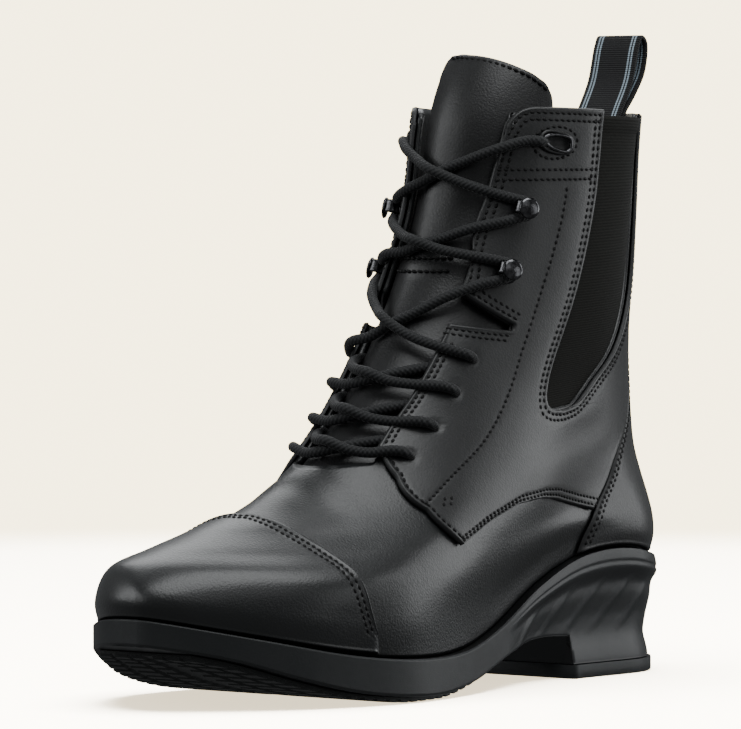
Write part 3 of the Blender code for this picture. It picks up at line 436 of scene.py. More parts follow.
insole_share = (1 - np.cos(np.linspace(0.05, math.pi - 0.05, 90))) / 2
sock_q = np.linspace(-1, 1, 17)
grid = np.repeat(insole_share[:, None], len(sock_q), 1)
along = INSOLE_MARGIN / SOLE_LENGTH + (1 - 2 * INSOLE_MARGIN / SOLE_LENGTH) * grid
low_x = outline(grid, -np.ones_like(grid), INSOLE_MARGIN)
high_x = outline(grid, np.ones_like(grid), INSOLE_MARGIN)
x = low_x + (high_x - low_x) * (sock_q[None] + 1) / 2
base = ledge_height(along) + SEAT
dish = 0.0005 * (1 - sock_q[None] ** 2)
y = HEEL_BACK - along * SOLE_LENGTH
points, faces, kinds, used = closed_sheet(
    np.stack([x, y, base + INSOLE_THICK - dish], -1), np.stack([x, y, base], -1))
sock = Finish("insole_sock", roughness=0.92, sheen_weight=0.25, sheen_roughness=0.5)
nap = sock.place.noise(900.0, 4.0, 0.7)
sock.set("Base Color", nap.rise(0.25, 0.75).shades((0.060, 0.056, 0.050), (0.115, 0.108, 0.096)))
sock.bump(nap + sock.place.noise(3200.0, 2.0), 0.00015)
mesh_piece("insole_sock", points, faces, [sock.material], "lining", ["insole"])

# Upper
# The vamp and its lining in one lasted shell: smooth black full-grain leather outside, pale drill inside,
# open at the collar and the lace throat, lasted under and cemented to the sole's ledge.
RING_COLUMNS = ("front", "front_height", "back", "back_height", "heel", "seat", "waist", "ball", "tip",
                "back_round", "front_round", "swing", "draw")
rings = table(RING_COLUMNS, [
    (0.987, 0.152, 0.015, 0.195, 0.000, 0.000, 0.000, 0.000, 0.000, 0.00, 0.00, 1.0, 0.000),
    (0.991, 0.190, 0.010, 0.234, 0.000, 0.000, 0.000, 0.000, 0.000, 0.00, 0.00, 1.0, 0.000),
    (0.962, 0.234, 0.011, 0.274, 0.298, 0.305, 0.342, 0.448, 0.350, 0.12, 0.24, 1.0, 0.000),
    (0.912, 0.261, 0.014, 0.315, 0.278, 0.295, 0.348, 0.408, 0.330, 0.13, 0.34, 1.0, 0.000),
    (0.838, 0.289, 0.019, 0.360, 0.260, 0.287, 0.353, 0.373, 0.315, 0.16, 0.42, 0.9, 0.000),
    (0.748, 0.330, 0.027, 0.416, 0.242, 0.284, 0.350, 0.360, 0.320, 0.20, 0.48, 0.8, 0.000),
    (0.650, 0.411, 0.030, 0.487, 0.235, 0.285, 0.340, 0.350, 0.330, 0.26, 0.50, 0.6, 0.010),
    (0.564, 0.528, 0.036, 0.579, 0.250, 0.290, 0.330, 0.335, 0.330, 0.34, 0.50, 0.3, 0.035),
    (0.481, 0.675, 0.036, 0.701, 0.290, 0.315, 0.335, 0.340, 0.335, 0.44, 0.50, 0.0, 0.060),
    (0.421, 0.838, 0.030, 0.853, 0.330, 0.335, 0.340, 0.345, 0.340, 0.50, 0.50, 0.0, 0.070),
    (0.387, 1.010, 0.019, 1.000, 0.345, 0.345, 0.350, 0.355, 0.355, 0.50, 0.50, 0.0, 0.050),
    (0.331, 1.132, 0.000, 1.122, 0.360, 0.360, 0.360, 0.365, 0.365, 0.50, 0.50, 0.0, 0.030)])
RING_COUNT = 12
WIDTH_PLACES = (0.0, 0.20, 0.45, 0.72, 1.0)
SAG_RINGS, SAG_POWER = 5.0, 1.5
DRAW_FROM, DRAW_TO = 0.45, 0.75
THROAT_RING, TOP_RING = 5.85, 10.05
CORNER_FROM, CORNER_DROP = 0.720, 0.28
NOTCH_ROUND, NOTCH_RING, NOTCH_CUT = 0.657, 7.60, 0.06
facing = table(("ring", "round"), [
    (5.85, 0.835), (6.35, 0.845), (6.85, 0.828), (7.60, 0.812), (8.05, 0.808), (8.60, 0.826), (9.20, 0.812),
    (9.80, 0.795), (10.1, 0.790)])
gore = table(("ring", "rear", "front"), [
    (6.33, 0.474, 0.478), (6.345, 0.462, 0.490), (6.37, 0.451, 0.500), (6.42, 0.440, 0.511),
    (6.50, 0.430, 0.519), (6.60, 0.418, 0.524), (6.75, 0.400, 0.527), (7.15, 0.335, 0.527),
    (7.65, 0.275, 0.519), (8.15, 0.225, 0.511), (9.00, 0.175, 0.506), (10.1, 0.150, 0.520)])
stay = table(("ring", "round"), [
    (0.0, 0.325), (1.5, 0.318), (2.8, 0.307), (4.0, 0.290), (5.0, 0.272), (5.7, 0.240), (6.4, 0.205),
    (7.2, 0.160), (8.2, 0.120), (10.1, 0.100)])


def swing(share):
    """Sideways place of the foot's centre line: half the difference of the outer and inner half widths."""
    share = np.clip(share, 0.0, 1.0)
    return cubic(plan["along"], (plan["outer"] - plan["inner"]) / 2, share) * BALL_WIDTH


def fold(w):
    """The outer side's way round for any way round: the inner side's read backwards."""
    return np.where(w <= 1.0, w, 2.0 - w)


def ring_side(number, tau, side):
    """Sideways place of one ring at share tau of its length: half width times end rounding, plus swing."""
    if number < 2:
        return outline(tau, side, LEDGE - number * FEATHER_BULGE)
    row = {name: rings[name][number] for name in RING_COLUMNS}
    half = cubic(WIDTH_PLACES, [row[name] for name in ("heel", "seat", "waist", "ball", "tip")], tau)
    half = half - np.where(side < 0, row["draw"] * blend(DRAW_FROM, DRAW_TO, tau), 0.0)
    half = half * BALL_WIDTH * end_round(tau, row["back_round"], row["front_round"])
    return side * half + swing(row["back"] + (row["front"] - row["back"]) * tau) * row["swing"]


def form(v, w):
    """Points of the upper's outer face at ring v and way round w: along the foot a cosine of w between the
    ring's two ends, across it the rings' half widths in cubic steps of v. The lowest rings sag to the
    ledge."""
    v, w = np.broadcast_arrays(np.asarray(v, float), np.asarray(w, float))
    w = np.mod(w, 2.0)
    side = np.where(w <= 1.0, 1.0, -1.0)
    tau = (1 - np.cos(np.pi * fold(w))) / 2
    across = np.stack([ring_side(k, tau, side) for k in range(RING_COUNT)])
    i = np.clip(np.floor(v).astype(int), 0, RING_COUNT - 2)
    t = v - i

    def ring(j):
        return np.take_along_axis(across, np.clip(j, 0, RING_COUNT - 1)[None], 0)[0]

    low, high = ring(i), ring(i + 1)
    low_slope = np.where(i > 0, (high - ring(i - 1)) / 2, high - low)
    high_slope = np.where(i < RING_COUNT - 2, (ring(i + 2) - low) / 2, high - low)
    x = (1 + 2 * t) * (1 - t) ** 2 * low + t * (1 - t) ** 2 * low_slope
    x = x + t * t * (3 - 2 * t) * high + t * t * (t - 1) * high_slope
    front, front_height, back, back_height = (
        cubic(np.arange(RING_COUNT), rings[name], v) for name in RING_COLUMNS[:4])
    along = back + (front - back) * tau
    z = (back_height + (front_height - back_height) * tau) * COLLAR_HEIGHT
    chord = rings["back_height"][0] + (rings["front_height"][0] - rings["back_height"][0]) * tau
    sag = ledge_height(along) - chord * COLLAR_HEIGHT + SEAT
    z = z + sag * np.clip(1 - v / SAG_RINGS, 0.0, 1.0) ** SAG_POWER
    return np.stack([x, HEEL_BACK - along * SOLE_LENGTH, z], -1)


def outward(v, w):
    """Unit normal of the upper's outer face: the cross product of the ways up and round."""
    step = 0.002
    v, w = np.broadcast_arrays(np.asarray(v, float), np.asarray(w, float))
    up = form(v + step, w) - form(np.maximum(v - step, 0.0), w)
    return unit(np.cross(up, form(v, w + step) - form(v, w - step)))


def creases(v, w):
    """Wear in the leather, in metres: soft troughs and ridges placed across the vamp behind the toe
    seam and round the ankle, each a hump across its own line that fades along it."""
    out = fold(w)
    back, front = (cubic(np.arange(RING_COUNT), rings[name], v) for name in ("back", "front"))
    along = back + (front - back) * (1 - np.cos(np.pi * out)) / 2
    vamp = hump(w, 1.0, 0.36) * blend(2.6, 3.4, v)
    depth = -0.0002 * vamp * hump(along, 0.705, 0.020) + 0.0001 * vamp * hump(along, 0.682, 0.020)
    depth = depth - 0.0002 * vamp * hump(along, 0.662, 0.018)
    depth = depth - 0.0003 * hump(v + 1.6 * out, 6.35, 0.50) * hump(out, 0.42, 0.15)
    depth = depth + 0.0002 * hump(v + 1.6 * out, 7.00, 0.45) * hump(out, 0.43, 0.14)
    depth = depth - 0.0003 * hump(v - 2.2 * out, 5.75, 0.55) * hump(out, 0.66, 0.10)
    return depth


def skin(v, w, offset=0.0):
    """Points at a distance outside the creased outer face, level near the sole and never below its ledge."""
    v, w = np.asarray(v, float), np.asarray(w, float)
    reach = np.asarray(offset, float) + creases(v, w)
    way = outward(v, w)
    way[..., 2] = np.where(v < 2.0, np.maximum(way[..., 2], 0.0), way[..., 2])
    point = form(v, w) + way * reach[..., None]
    share = (HEEL_BACK - point[..., 1]) / SOLE_LENGTH
    point[..., 2] = np.maximum(point[..., 2], ledge_height(share) + SEAT)
    return point


def spread(lines, counts, gather):
    """Values from line to line of a list, each span cut into its own number of cells, which gather towards
    the span's ends."""
    parts = []
    for start, stop, count, g in zip(lines[:-1], lines[1:], counts, gather):
        parts.append(start[..., None] + (stop - start)[..., None] * gathered(np.arange(count) / count, g))
    parts.append(lines[-1][..., None])
    return np.concatenate(parts, -1)


def edge_line(columns, v, name="round"):
    """A seam or edge at ring v, read from its table."""
    return cubic(columns["ring"], columns[name], np.clip(v, columns["ring"][0], columns["ring"][-1]))


def outer_way(v, w):
    """The outer side's way round as it is."""
    return w


def inner_way(v, w):
    """The inner side's way round for an outer one: mirrored, and near the collar turned with the throat."""
    turn = np.interp(v, (7.5, 10.0), (0.0, 0.07)) * blend(0.50, 0.80, w)
    return 2.0 - w - turn


SIDES = (("outer", outer_way), ("inner", inner_way))


def top_ring(w):
    """Ring number of the top line, falling by a quarter ellipse round the corner at the facing."""
    corner = np.clip((w - CORNER_FROM) / (0.790 - CORNER_FROM), 0.0, 1.0)
    return TOP_RING - CORNER_DROP * (1 - np.sqrt(1 - corner ** 2))


def open_notch(v, w, grow=0.0):
    """Ring numbers with the ankle notch drawn open: above the cut the rows rise, below it they rise less,
    in proportion to the way from the notch's point to the facing."""
    share = np.clip((w - NOTCH_ROUND) / (edge_line(facing, v) - NOTCH_ROUND), 0.0, 1.0)
    rise = np.where(v <= NOTCH_RING + 1e-6, (0.12 - grow) * hump(v, NOTCH_RING, 1.2),
                    (0.41 + grow) * hump(v, NOTCH_RING + NOTCH_CUT, 1.6))
    return v + rise * share


def leather_finish(name, dark, light, roughness, gloss, grain):
    """Full-grain box leather: near-black with faint clouding, a fine pebble grain of soft cells, and a waxed
    coat whose gloss varies. The seam attribute paints shade into the stitched valleys, punched holes and
    eased edges by darkening the colour there, and also dulls the coat."""
    made = Finish(name, coat_roughness=0.27, specular_ior_level=0.5)
    cloud = made.place.noise(30.0, 4.0, 0.6)
    seam = made.value("seam")
    # painted shade: the seam attribute pulls the colour towards the dark shade in stitched valleys, holes and
    # along edges
    made.set("Base Color", (cloud.rise(0.3, 0.7) * (1.0 - 0.8 * seam)).shades(dark, light))
    pebble = made.place.cells(1350.0)
    fine = made.place.noise(2900.0, 3.0, 0.6)
    stretch = made.place.noise(160.0, 3.0, 0.55)
    made.set("Roughness", roughness + 0.10 * made.place.noise(55.0, 4.0) + 0.10 * pebble - 0.07 + 0.2 * seam)
    made.set("Coat Weight", gloss * (0.75 + 0.5 * made.place.noise(42.0, 3.0)) * (1.0 - 0.7 * seam))
    made.bump(0.55 * pebble + 0.25 * fine + 0.5 * stretch, grain)
    return made.material


vamp_leather = leather_finish(
    "vamp_leather", (0.0060, 0.0068, 0.0070), (0.0095, 0.0108, 0.0110), 0.36, 0.36, 0.00013)
drill = Finish("drill_lining", roughness=0.88)
twill = drill.place.noise(1500.0, 2.0)
drill.set("Base Color", twill.rise(0.2, 0.8).shades((0.15, 0.142, 0.122), (0.25, 0.238, 0.208)))
drill.bump(twill, 0.0001)

low = np.concatenate([np.linspace(0.0, 1.0, 14)[:-1], np.linspace(1.0, THROAT_RING, 62)])
high = np.concatenate([np.linspace(6.0, NOTCH_RING, 18), np.linspace(NOTCH_RING + NOTCH_CUT, TOP_RING, 34)])
v = np.concatenate([low, high])
zero = np.zeros_like(v)
lines = [zero, edge_line(gore, v, "rear"), edge_line(gore, v, "front"), zero + NOTCH_ROUND,
         edge_line(facing, v) - 0.006, zero + 1.0]
UPPER_CELLS = (16, 10, 12, 16, 36)
outer_half = spread(lines, UPPER_CELLS, (0.5, 0.3, 0.4, 0.5, 0.0))
level = np.repeat(v[:, None], outer_half.shape[1], 1)
level = np.where(level > THROAT_RING, open_notch(level, outer_half, 0.02), level)
level[-1] = np.minimum(top_ring(outer_half[-1]) - 0.01, TOP_RING)
w = np.concatenate([outer_half, inner_way(level, outer_half)[:, -2:0:-1]], 1)
level = np.concatenate([level, level[:, -2:0:-1]], 1)
around = w.shape[1]
keep = np.ones((len(v) - 1, around), bool)
gore_row = np.searchsorted(v, gore["ring"][0])
notch_row = len(low) + 17
first_cut = sum(UPPER_CELLS[:3])
keep[gore_row:, UPPER_CELLS[0]:sum(UPPER_CELLS[:2])] = False
keep[gore_row:, around - sum(UPPER_CELLS[:2]):around - UPPER_CELLS[0]] = False
keep[len(low) - 1:, around // 2 - UPPER_CELLS[4]:around // 2 + UPPER_CELLS[4]] = False
keep[notch_row, first_cut:around - first_cut] = False
points, faces, kinds, used = closed_sheet(skin(level, w, 0.0), skin(level, w, -WALL), keep, wrap=True)
facing_gap = np.concatenate([(edge_line(facing, level) - fold(w)).ravel()] * 2)[used]
doubled = (facing_gap[faces].mean(1) < 0.13) & (points[faces][:, :, 2].mean(1) > 0.11)
mesh_piece("vamp_and_lining", points, faces, [vamp_leather, drill.material], "leather", ["upper"],
           seam=np.zeros(len(points)), kinds=np.where((kinds == 1) & ~doubled, 1, 0))

# Stitching
# Bonded black thread, sewn in single and double rows. Each stitch is a short arched bead that dips into the
# leather at both ends.
STITCH_PITCH, STITCH_RADIUS, STITCH_SLANT, STITCH_STEP = 0.0024, 0.00062, 0.20, 0.0005
STITCH_HALF, STITCH_LIFT, STITCH_DIP = 0.48, 0.00034, 0.00045
thread = Finish("waxed_thread", roughness=0.62, specular_ior_level=0.3)
twist = thread.place.noise(1800.0, 2.0)
thread.set("Base Color", twist.rise(0.2, 0.8).shades((0.003, 0.003, 0.003), (0.009, 0.009, 0.009)))
thread.bump(twist, 0.0001)


def run_along(path, power=1.0):
    """Distance run along a path at each of its points, each step raised to a power."""
    return np.concatenate([[0.0], np.cumsum(np.linalg.norm(np.diff(path, axis=0), axis=1) ** power)])


def read_path(path, run, at):
    """Points of a path at given distances of its run."""
    return np.stack([np.interp(at, run, path[:, k]) for k in range(3)], -1)


def even_path(path, count):
    """Points at even distances along a path, and the distance at each."""
    run = run_along(path)
    even = np.linspace(0.0, run[-1], count)
    return read_path(path, run, even), even


def smooth_path(knots, power, count):
    """Points on a smooth curve through its knots, spaced by a power of the distances between them."""
    knots = np.asarray(knots, float)
    run = run_along(knots, power)
    return np.stack([cubic(run, knots[:, k], np.linspace(0, run[-1], count)) for k in range(3)], -1)


def tube_faces(rings_count, sides, closed=False):
    """Faces between rings of points with the given number of sides, joined end to end if closed."""
    i, j = np.meshgrid(np.arange(rings_count if closed else rings_count - 1), np.arange(sides), indexing="ij")
    n, k = (i + 1) % rings_count, (j + 1) % sides
    return np.stack([i * sides + j, i * sides + k, n * sides + k, n * sides + j], -1).reshape(-1, 4)


def joined(parts):
    """Several parts, each points and faces, as one."""
    first = np.cumsum([0] + [len(part[0]) for part in parts])
    faces = np.concatenate([part[1] + start for part, start in zip(parts, first)])
    return np.concatenate([part[0] for part in parts]), faces


def stitch_row(v, w, lift):
    """Stitches along a line given by rings and ways round. Each is a six-sided bead whose radius and height
    follow the square root and the square of its own length, 1 - s^2."""
    fine = np.linspace(0, 1, 400)
    knots = np.linspace(0, 1, len(v))
    v, w = np.interp(fine, knots, v), np.interp(fine, knots, w)
    path = skin(v, w, lift)
    run = run_along(path)
    count = max(int(round(run[-1] / STITCH_PITCH)), 1)
    middle = (np.arange(count) + 0.5) * run[-1] / count
    centre, facing_out = read_path(path, run, middle), read_path(outward(v, w), run, middle)
    way = unit(read_path(path, run, middle + STITCH_STEP) - read_path(path, run, middle - STITCH_STEP))
    across = np.cross(way, facing_out)
    way, across = way + STITCH_SLANT * across, across - STITCH_SLANT * way
    s = np.array([-1.0, -0.8, -0.3, 0.3, 0.8, 1.0])
    half = STITCH_HALF * run[-1] / count
    girth = STITCH_RADIUS * np.sqrt(np.clip(1 - s ** 2, 0.02, 1.0))
    turn = np.arange(6) * math.pi / 3
    bead = (centre[:, None, None] + way[:, None, None] * (half * s)[None, :, None, None]
            + facing_out[:, None, None] * (STITCH_LIFT - STITCH_DIP * s ** 2)[None, :, None, None]
            + across[:, None, None] * (girth[:, None] * np.cos(turn)[None])[None, :, :, None]
            + facing_out[:, None, None] * (girth[:, None] * np.sin(turn)[None])[None, :, :, None])
    ends = np.array([[0, 1, 2, 3], [0, 3, 4, 5], [33, 32, 31, 30], [35, 34, 33, 30]])
    one = np.concatenate([np.roll(tube_faces(6, 6)[:, ::-1], 1, 1), ends])
    return bead.reshape(-1, 3), (one[None] + 36 * np.arange(count)[:, None, None]).reshape(-1, 4), path


def sewn(name, rows, slot_name):
    """One piece of thread from several stitched rows."""
    mesh_piece(name, *joined(rows), [thread.material], slot_name)


def near(places, lines):
    """Distance from each place of a grid to the nearest of several dense lines of points."""
    points, targets = places.reshape(-1, 3), np.concatenate(lines)
    best = np.empty(len(points))
    for start in range(0, len(points), 2000):
        gap = np.linalg.norm(points[start:start + 2000, None] - targets[None], axis=-1)
        best[start:start + 2000] = gap.min(1)
    return best.reshape(places.shape[:-1])


UNDER = 0.0007
OVERLAY = 0.0013
TOP_FACE = UNDER + OVERLAY
EDGE_EASE, EDGE_SHARE, LEAST_THICK = 0.0011, 0.25, 0.0003
GROOVE_DEPTH, GROOVE_REACH = 0.00050, 0.0011
ROLL_HEIGHT, ROLL_REACH = 0.00022, 0.0009


def overlay(name, v, w, paint, slot_name, node, rows, keep=None, dents=()):
    """A leather piece on the upper. Its top face eases down to its edges by a quarter round with a low roll
    just inside, sinks in a soft groove along each sewn row, and dips where a hole is punched.
    The grooves, the holes and a thin band along the edges get painted shade through the seam attribute, which
    also dulls them."""
    flat = skin(v, w, TOP_FACE)
    cells = np.zeros((v.shape[0] + 1, v.shape[1] + 1), bool)
    cells[1:-1, 1:-1] = True if keep is None else keep
    touching = np.stack([cells[:-1, :-1], cells[1:, :-1], cells[:-1, 1:], cells[1:, 1:]])
    gap = near(flat, [flat[touching.any(0) & ~touching.all(0)]])
    t = np.clip(gap / EDGE_EASE, 0.0, 1.0)
    height = UNDER + OVERLAY * (EDGE_SHARE + (1 - EDGE_SHARE) * np.sqrt(1 - (1 - t) ** 2))
    sink = np.clip(1 - near(flat, [row[2] for row in rows]) / GROOVE_REACH, 0.0, 1.0) ** 2
    height = height - GROOVE_DEPTH * sink + ROLL_HEIGHT * hump(gap, ROLL_REACH, ROLL_REACH)
    hole = np.zeros(v.shape)
    for dv, dw, radius, depth in dents:
        off = np.linalg.norm(flat - skin(dv, dw, TOP_FACE), axis=-1)
        dip = np.clip(1 - (off / radius) ** 2, 0.0, 1.0)
        hole = np.maximum(hole, dip)
        height = height - depth * dip ** 1.5
    points, faces, kinds, used = closed_sheet(
        skin(v, w, height), skin(v, w, np.minimum(UNDER, height - LEAST_THICK)), keep)
    # painted shade: darkest in the sewn grooves, the punched holes and along the cut edges; the underside is
    # fully darkened
    shade_and_dull = np.maximum(np.maximum(sink * 0.8, hole), 1 - blend(0.0, 0.0007, gap))
    seam = np.concatenate([shade_and_dull.ravel(), np.ones(v.size)])[used]
    mesh_piece(name, points, faces, [paint], slot_name, [node], seam=seam)


# Toe cap
# A separate cap of polished box leather lasted over the vamp, folded at its edge and sewn across the toes in
# a double row.
toe_seam = table(("ring", "along"), [
    (0.0, 0.726), (1.0, 0.742), (2.0, 0.756), (3.0, 0.766), (4.0, 0.774), (5.0, 0.780)])


def toe_seam_ring(w):
    """Ring number of the cap's seam at way round w, found from the seam's place along the foot."""
    step = np.linspace(0.0, 5.0, 201)
    back = cubic(np.arange(RING_COUNT), rings["back"], step)
    front = cubic(np.arange(RING_COUNT), rings["front"], step)
    tau = (cubic(toe_seam["ring"], toe_seam["along"], step) - back) / (front - back)
    crossed = tau < 0.9995
    seam_round = np.arccos(1 - 2 * np.clip(tau[crossed], 0.0, 1.0)) / math.pi
    return np.interp(fold(w), seam_round, step[crossed])


def inset_line(v, w, distance, side):
    """The line moved sideways on the skin by a distance, to its left (1) or right (-1), in rings and ways."""
    v, w = np.asarray(v, float), np.asarray(w, float)
    small = 0.01
    per_v = np.linalg.norm(form(v + small, w) - form(v - small, w), axis=-1) / (2 * small)
    per_w = np.linalg.norm(form(v, w + small) - form(v, w - small), axis=-1) / (2 * small)
    run_v, run_w = np.gradient(v) * per_v, np.gradient(w) * per_w
    step = side * distance / np.hypot(run_v, run_w)
    return v - step * run_w / per_v, w + step * run_v / per_w


cap_leather = leather_finish(
    "toe_cap_leather", (0.0075, 0.0084, 0.0088), (0.0115, 0.0126, 0.0132), 0.34, 0.42, 0.00012)
FOOT_RING = 0.06
half = spread(np.array([0.655, 0.72, 0.80, 1.0]), (14, 14, 44), (0.0, 0.0, 0.0))
w = np.concatenate([half, 2.0 - half[-2::-1]])
t = gathered(np.linspace(0, 1, 72), 0.42)
v = FOOT_RING + (toe_seam_ring(w)[None] - FOOT_RING) * t[:, None]
w = np.repeat(w[None], len(t), 0)
cap_rows = []
sewn_round = np.linspace(0.660, 1.340, 160)
for inset in (0.0020, 0.0038):
    seam_v, seam_w = inset_line(toe_seam_ring(sewn_round), sewn_round, inset, 1)
    cap_rows.append(stitch_row(seam_v, seam_w, TOP_FACE - GROOVE_DEPTH))
overlay("toe_cap_leather", v, w, cap_leather, "cap_leather", "toe_cap", cap_rows)
sewn("toe_cap_stitching", cap_rows, "cap_leather")

# Back stay
# The counter piece round the heel, narrowing to a strip up the back seam; cut in one and sewn down along its
# front edges.
stay_leather = leather_finish(
    "back_stay_leather", (0.0095, 0.0098, 0.0102), (0.0135, 0.0140, 0.0145), 0.40, 0.22, 0.00010)
EDGE_GAP = 0.004
v = np.concatenate([np.linspace(FOOT_RING, 6.3, 76), np.linspace(6.38, TOP_RING - 0.03, 54)])
t = 2 * gathered(np.linspace(0, 1, 65), 0.35) - 1
w = (edge_line(stay, v) - EDGE_GAP / 2)[:, None] * t[None]
level = np.repeat(v[:, None], len(t), 1)
stay_rows = []
sewn_v = np.linspace(0.5, 9.9, 120)
for side in (1.0, -1.0):
    for inset in (0.0020, 0.0042):
        off = inset / np.interp(sewn_v, (0.0, 6.0, 10.0), (0.29, 0.26, 0.20))
        sewn_w = side * (edge_line(stay, sewn_v) - EDGE_GAP / 2 - off)
        stay_rows.append(stitch_row(sewn_v, sewn_w, TOP_FACE - GROOVE_DEPTH))
overlay("back_stay_leather", level, w, stay_leather, "stay_leather", "back_stay", stay_rows)
sewn("back_stay_stitching", stay_rows, "stay_leather")

# Quarters
# The two side pieces with their lace facings, cut away round the elastic, notched at the ankle's bend and
# pointed at the vamp. Doubled along the facing, sewn twice round every edge and banded at the top.
POINT_ROUND = 0.573
lower_edge = table(("round", "ring"), [
    (0.300, 2.30), (0.345, 2.95), (0.383, 3.45), (0.420, 3.85), (0.455, 4.05), (0.505, 4.08), (0.545, 3.66),
    (0.573, 3.02), (0.655, 4.35), (0.755, 5.43), (0.838, 6.05)])
EYELETS = [(5.88, 0.765), (6.35, 0.750), (6.85, 0.735), (7.28, 0.725)]
HOOKS = [(8.28, 0.720), (8.95, 0.718)]
RING_PLACE = (9.65, 0.655)
quarter_leather = leather_finish(
    "quarter_leather", (0.0095, 0.0099, 0.0102), (0.0140, 0.0146, 0.0150), 0.39, 0.26, 0.00010)
FIRST_ROW, SECOND_ROW = 0.0020, 0.0042
QUARTER_CELLS = (22, 10, 12, 16, 34)
QUARTER_GATHER = (0.75, 0.3, 0.7, 0.3, 0.6)


def quarter_lines(v):
    """The quarter's lines from back to front at ring v: stay, both gore edges, point, notch and facing."""
    v = np.asarray(v, float)
    rear, front = edge_line(gore, v, "rear") - EDGE_GAP, edge_line(gore, v, "front") + EDGE_GAP
    point, notch = np.full_like(v, POINT_ROUND), np.full_like(v, NOTCH_ROUND)
    return [edge_line(stay, v) + EDGE_GAP, rear, front, point, notch, edge_line(facing, v)]


def quarter_grid():
    """Rings and ways round of the quarter's grid, with the cells that are kept. Below the gore each column
    runs straight up from the shaped lower edge; above it the columns share out the spans between its
    lines."""
    tip = gore["ring"][0]
    first = spread(quarter_lines(np.array(tip)), QUARTER_CELLS, QUARTER_GATHER)
    behind = QUARTER_CELLS[0]
    share = (first[:behind + 1] - first[0]) / (first[behind] - first[0])
    foot = edge_line(stay, lower_edge["ring"][0]) + EDGE_GAP
    foot_round = first.copy()
    foot_round[:behind + 1] = foot + (first[behind] - foot) * share
    edge = np.interp(foot_round, lower_edge["round"], lower_edge["ring"])
    t = gathered(np.linspace(0, 1, 41)[:-1], 0.7)
    v_low = edge[None] + (tip - edge[None]) * t[:, None]
    w_low = np.repeat(first[None], len(t), 0)
    foot = (edge_line(stay, v_low[:, 0]) + EDGE_GAP)[:, None]
    w_low[:, :behind + 1] = foot + (first[behind] - foot) * share[None]
    under_cut = spread(np.array([tip, NOTCH_RING]), (34,), (0.82,))
    over_cut = spread(np.array([NOTCH_RING + NOTCH_CUT, TOP_RING]), (44,), (0.6,))
    rows = np.concatenate([under_cut, over_cut])
    w_high = spread(quarter_lines(rows), QUARTER_CELLS, QUARTER_GATHER)
    v_high = open_notch(np.repeat(rows[:, None], w_high.shape[1], 1), w_high)
    v_high[-1] = top_ring(w_high[-1])
    for back in range(2, 8):
        v_high[-back] = np.minimum(v_high[-back], v_high[-back + 1] - 0.02)
    v, w = np.concatenate([v_low, v_high]), np.concatenate([w_low, w_high])
    keep = np.ones((v.shape[0] - 1, v.shape[1] - 1), bool)
    keep[len(v_low):, behind:behind + QUARTER_CELLS[1]] = False
    keep[len(v_low) + len(under_cut) - 1, sum(QUARTER_CELLS[:4]):] = False
    return v, w, keep


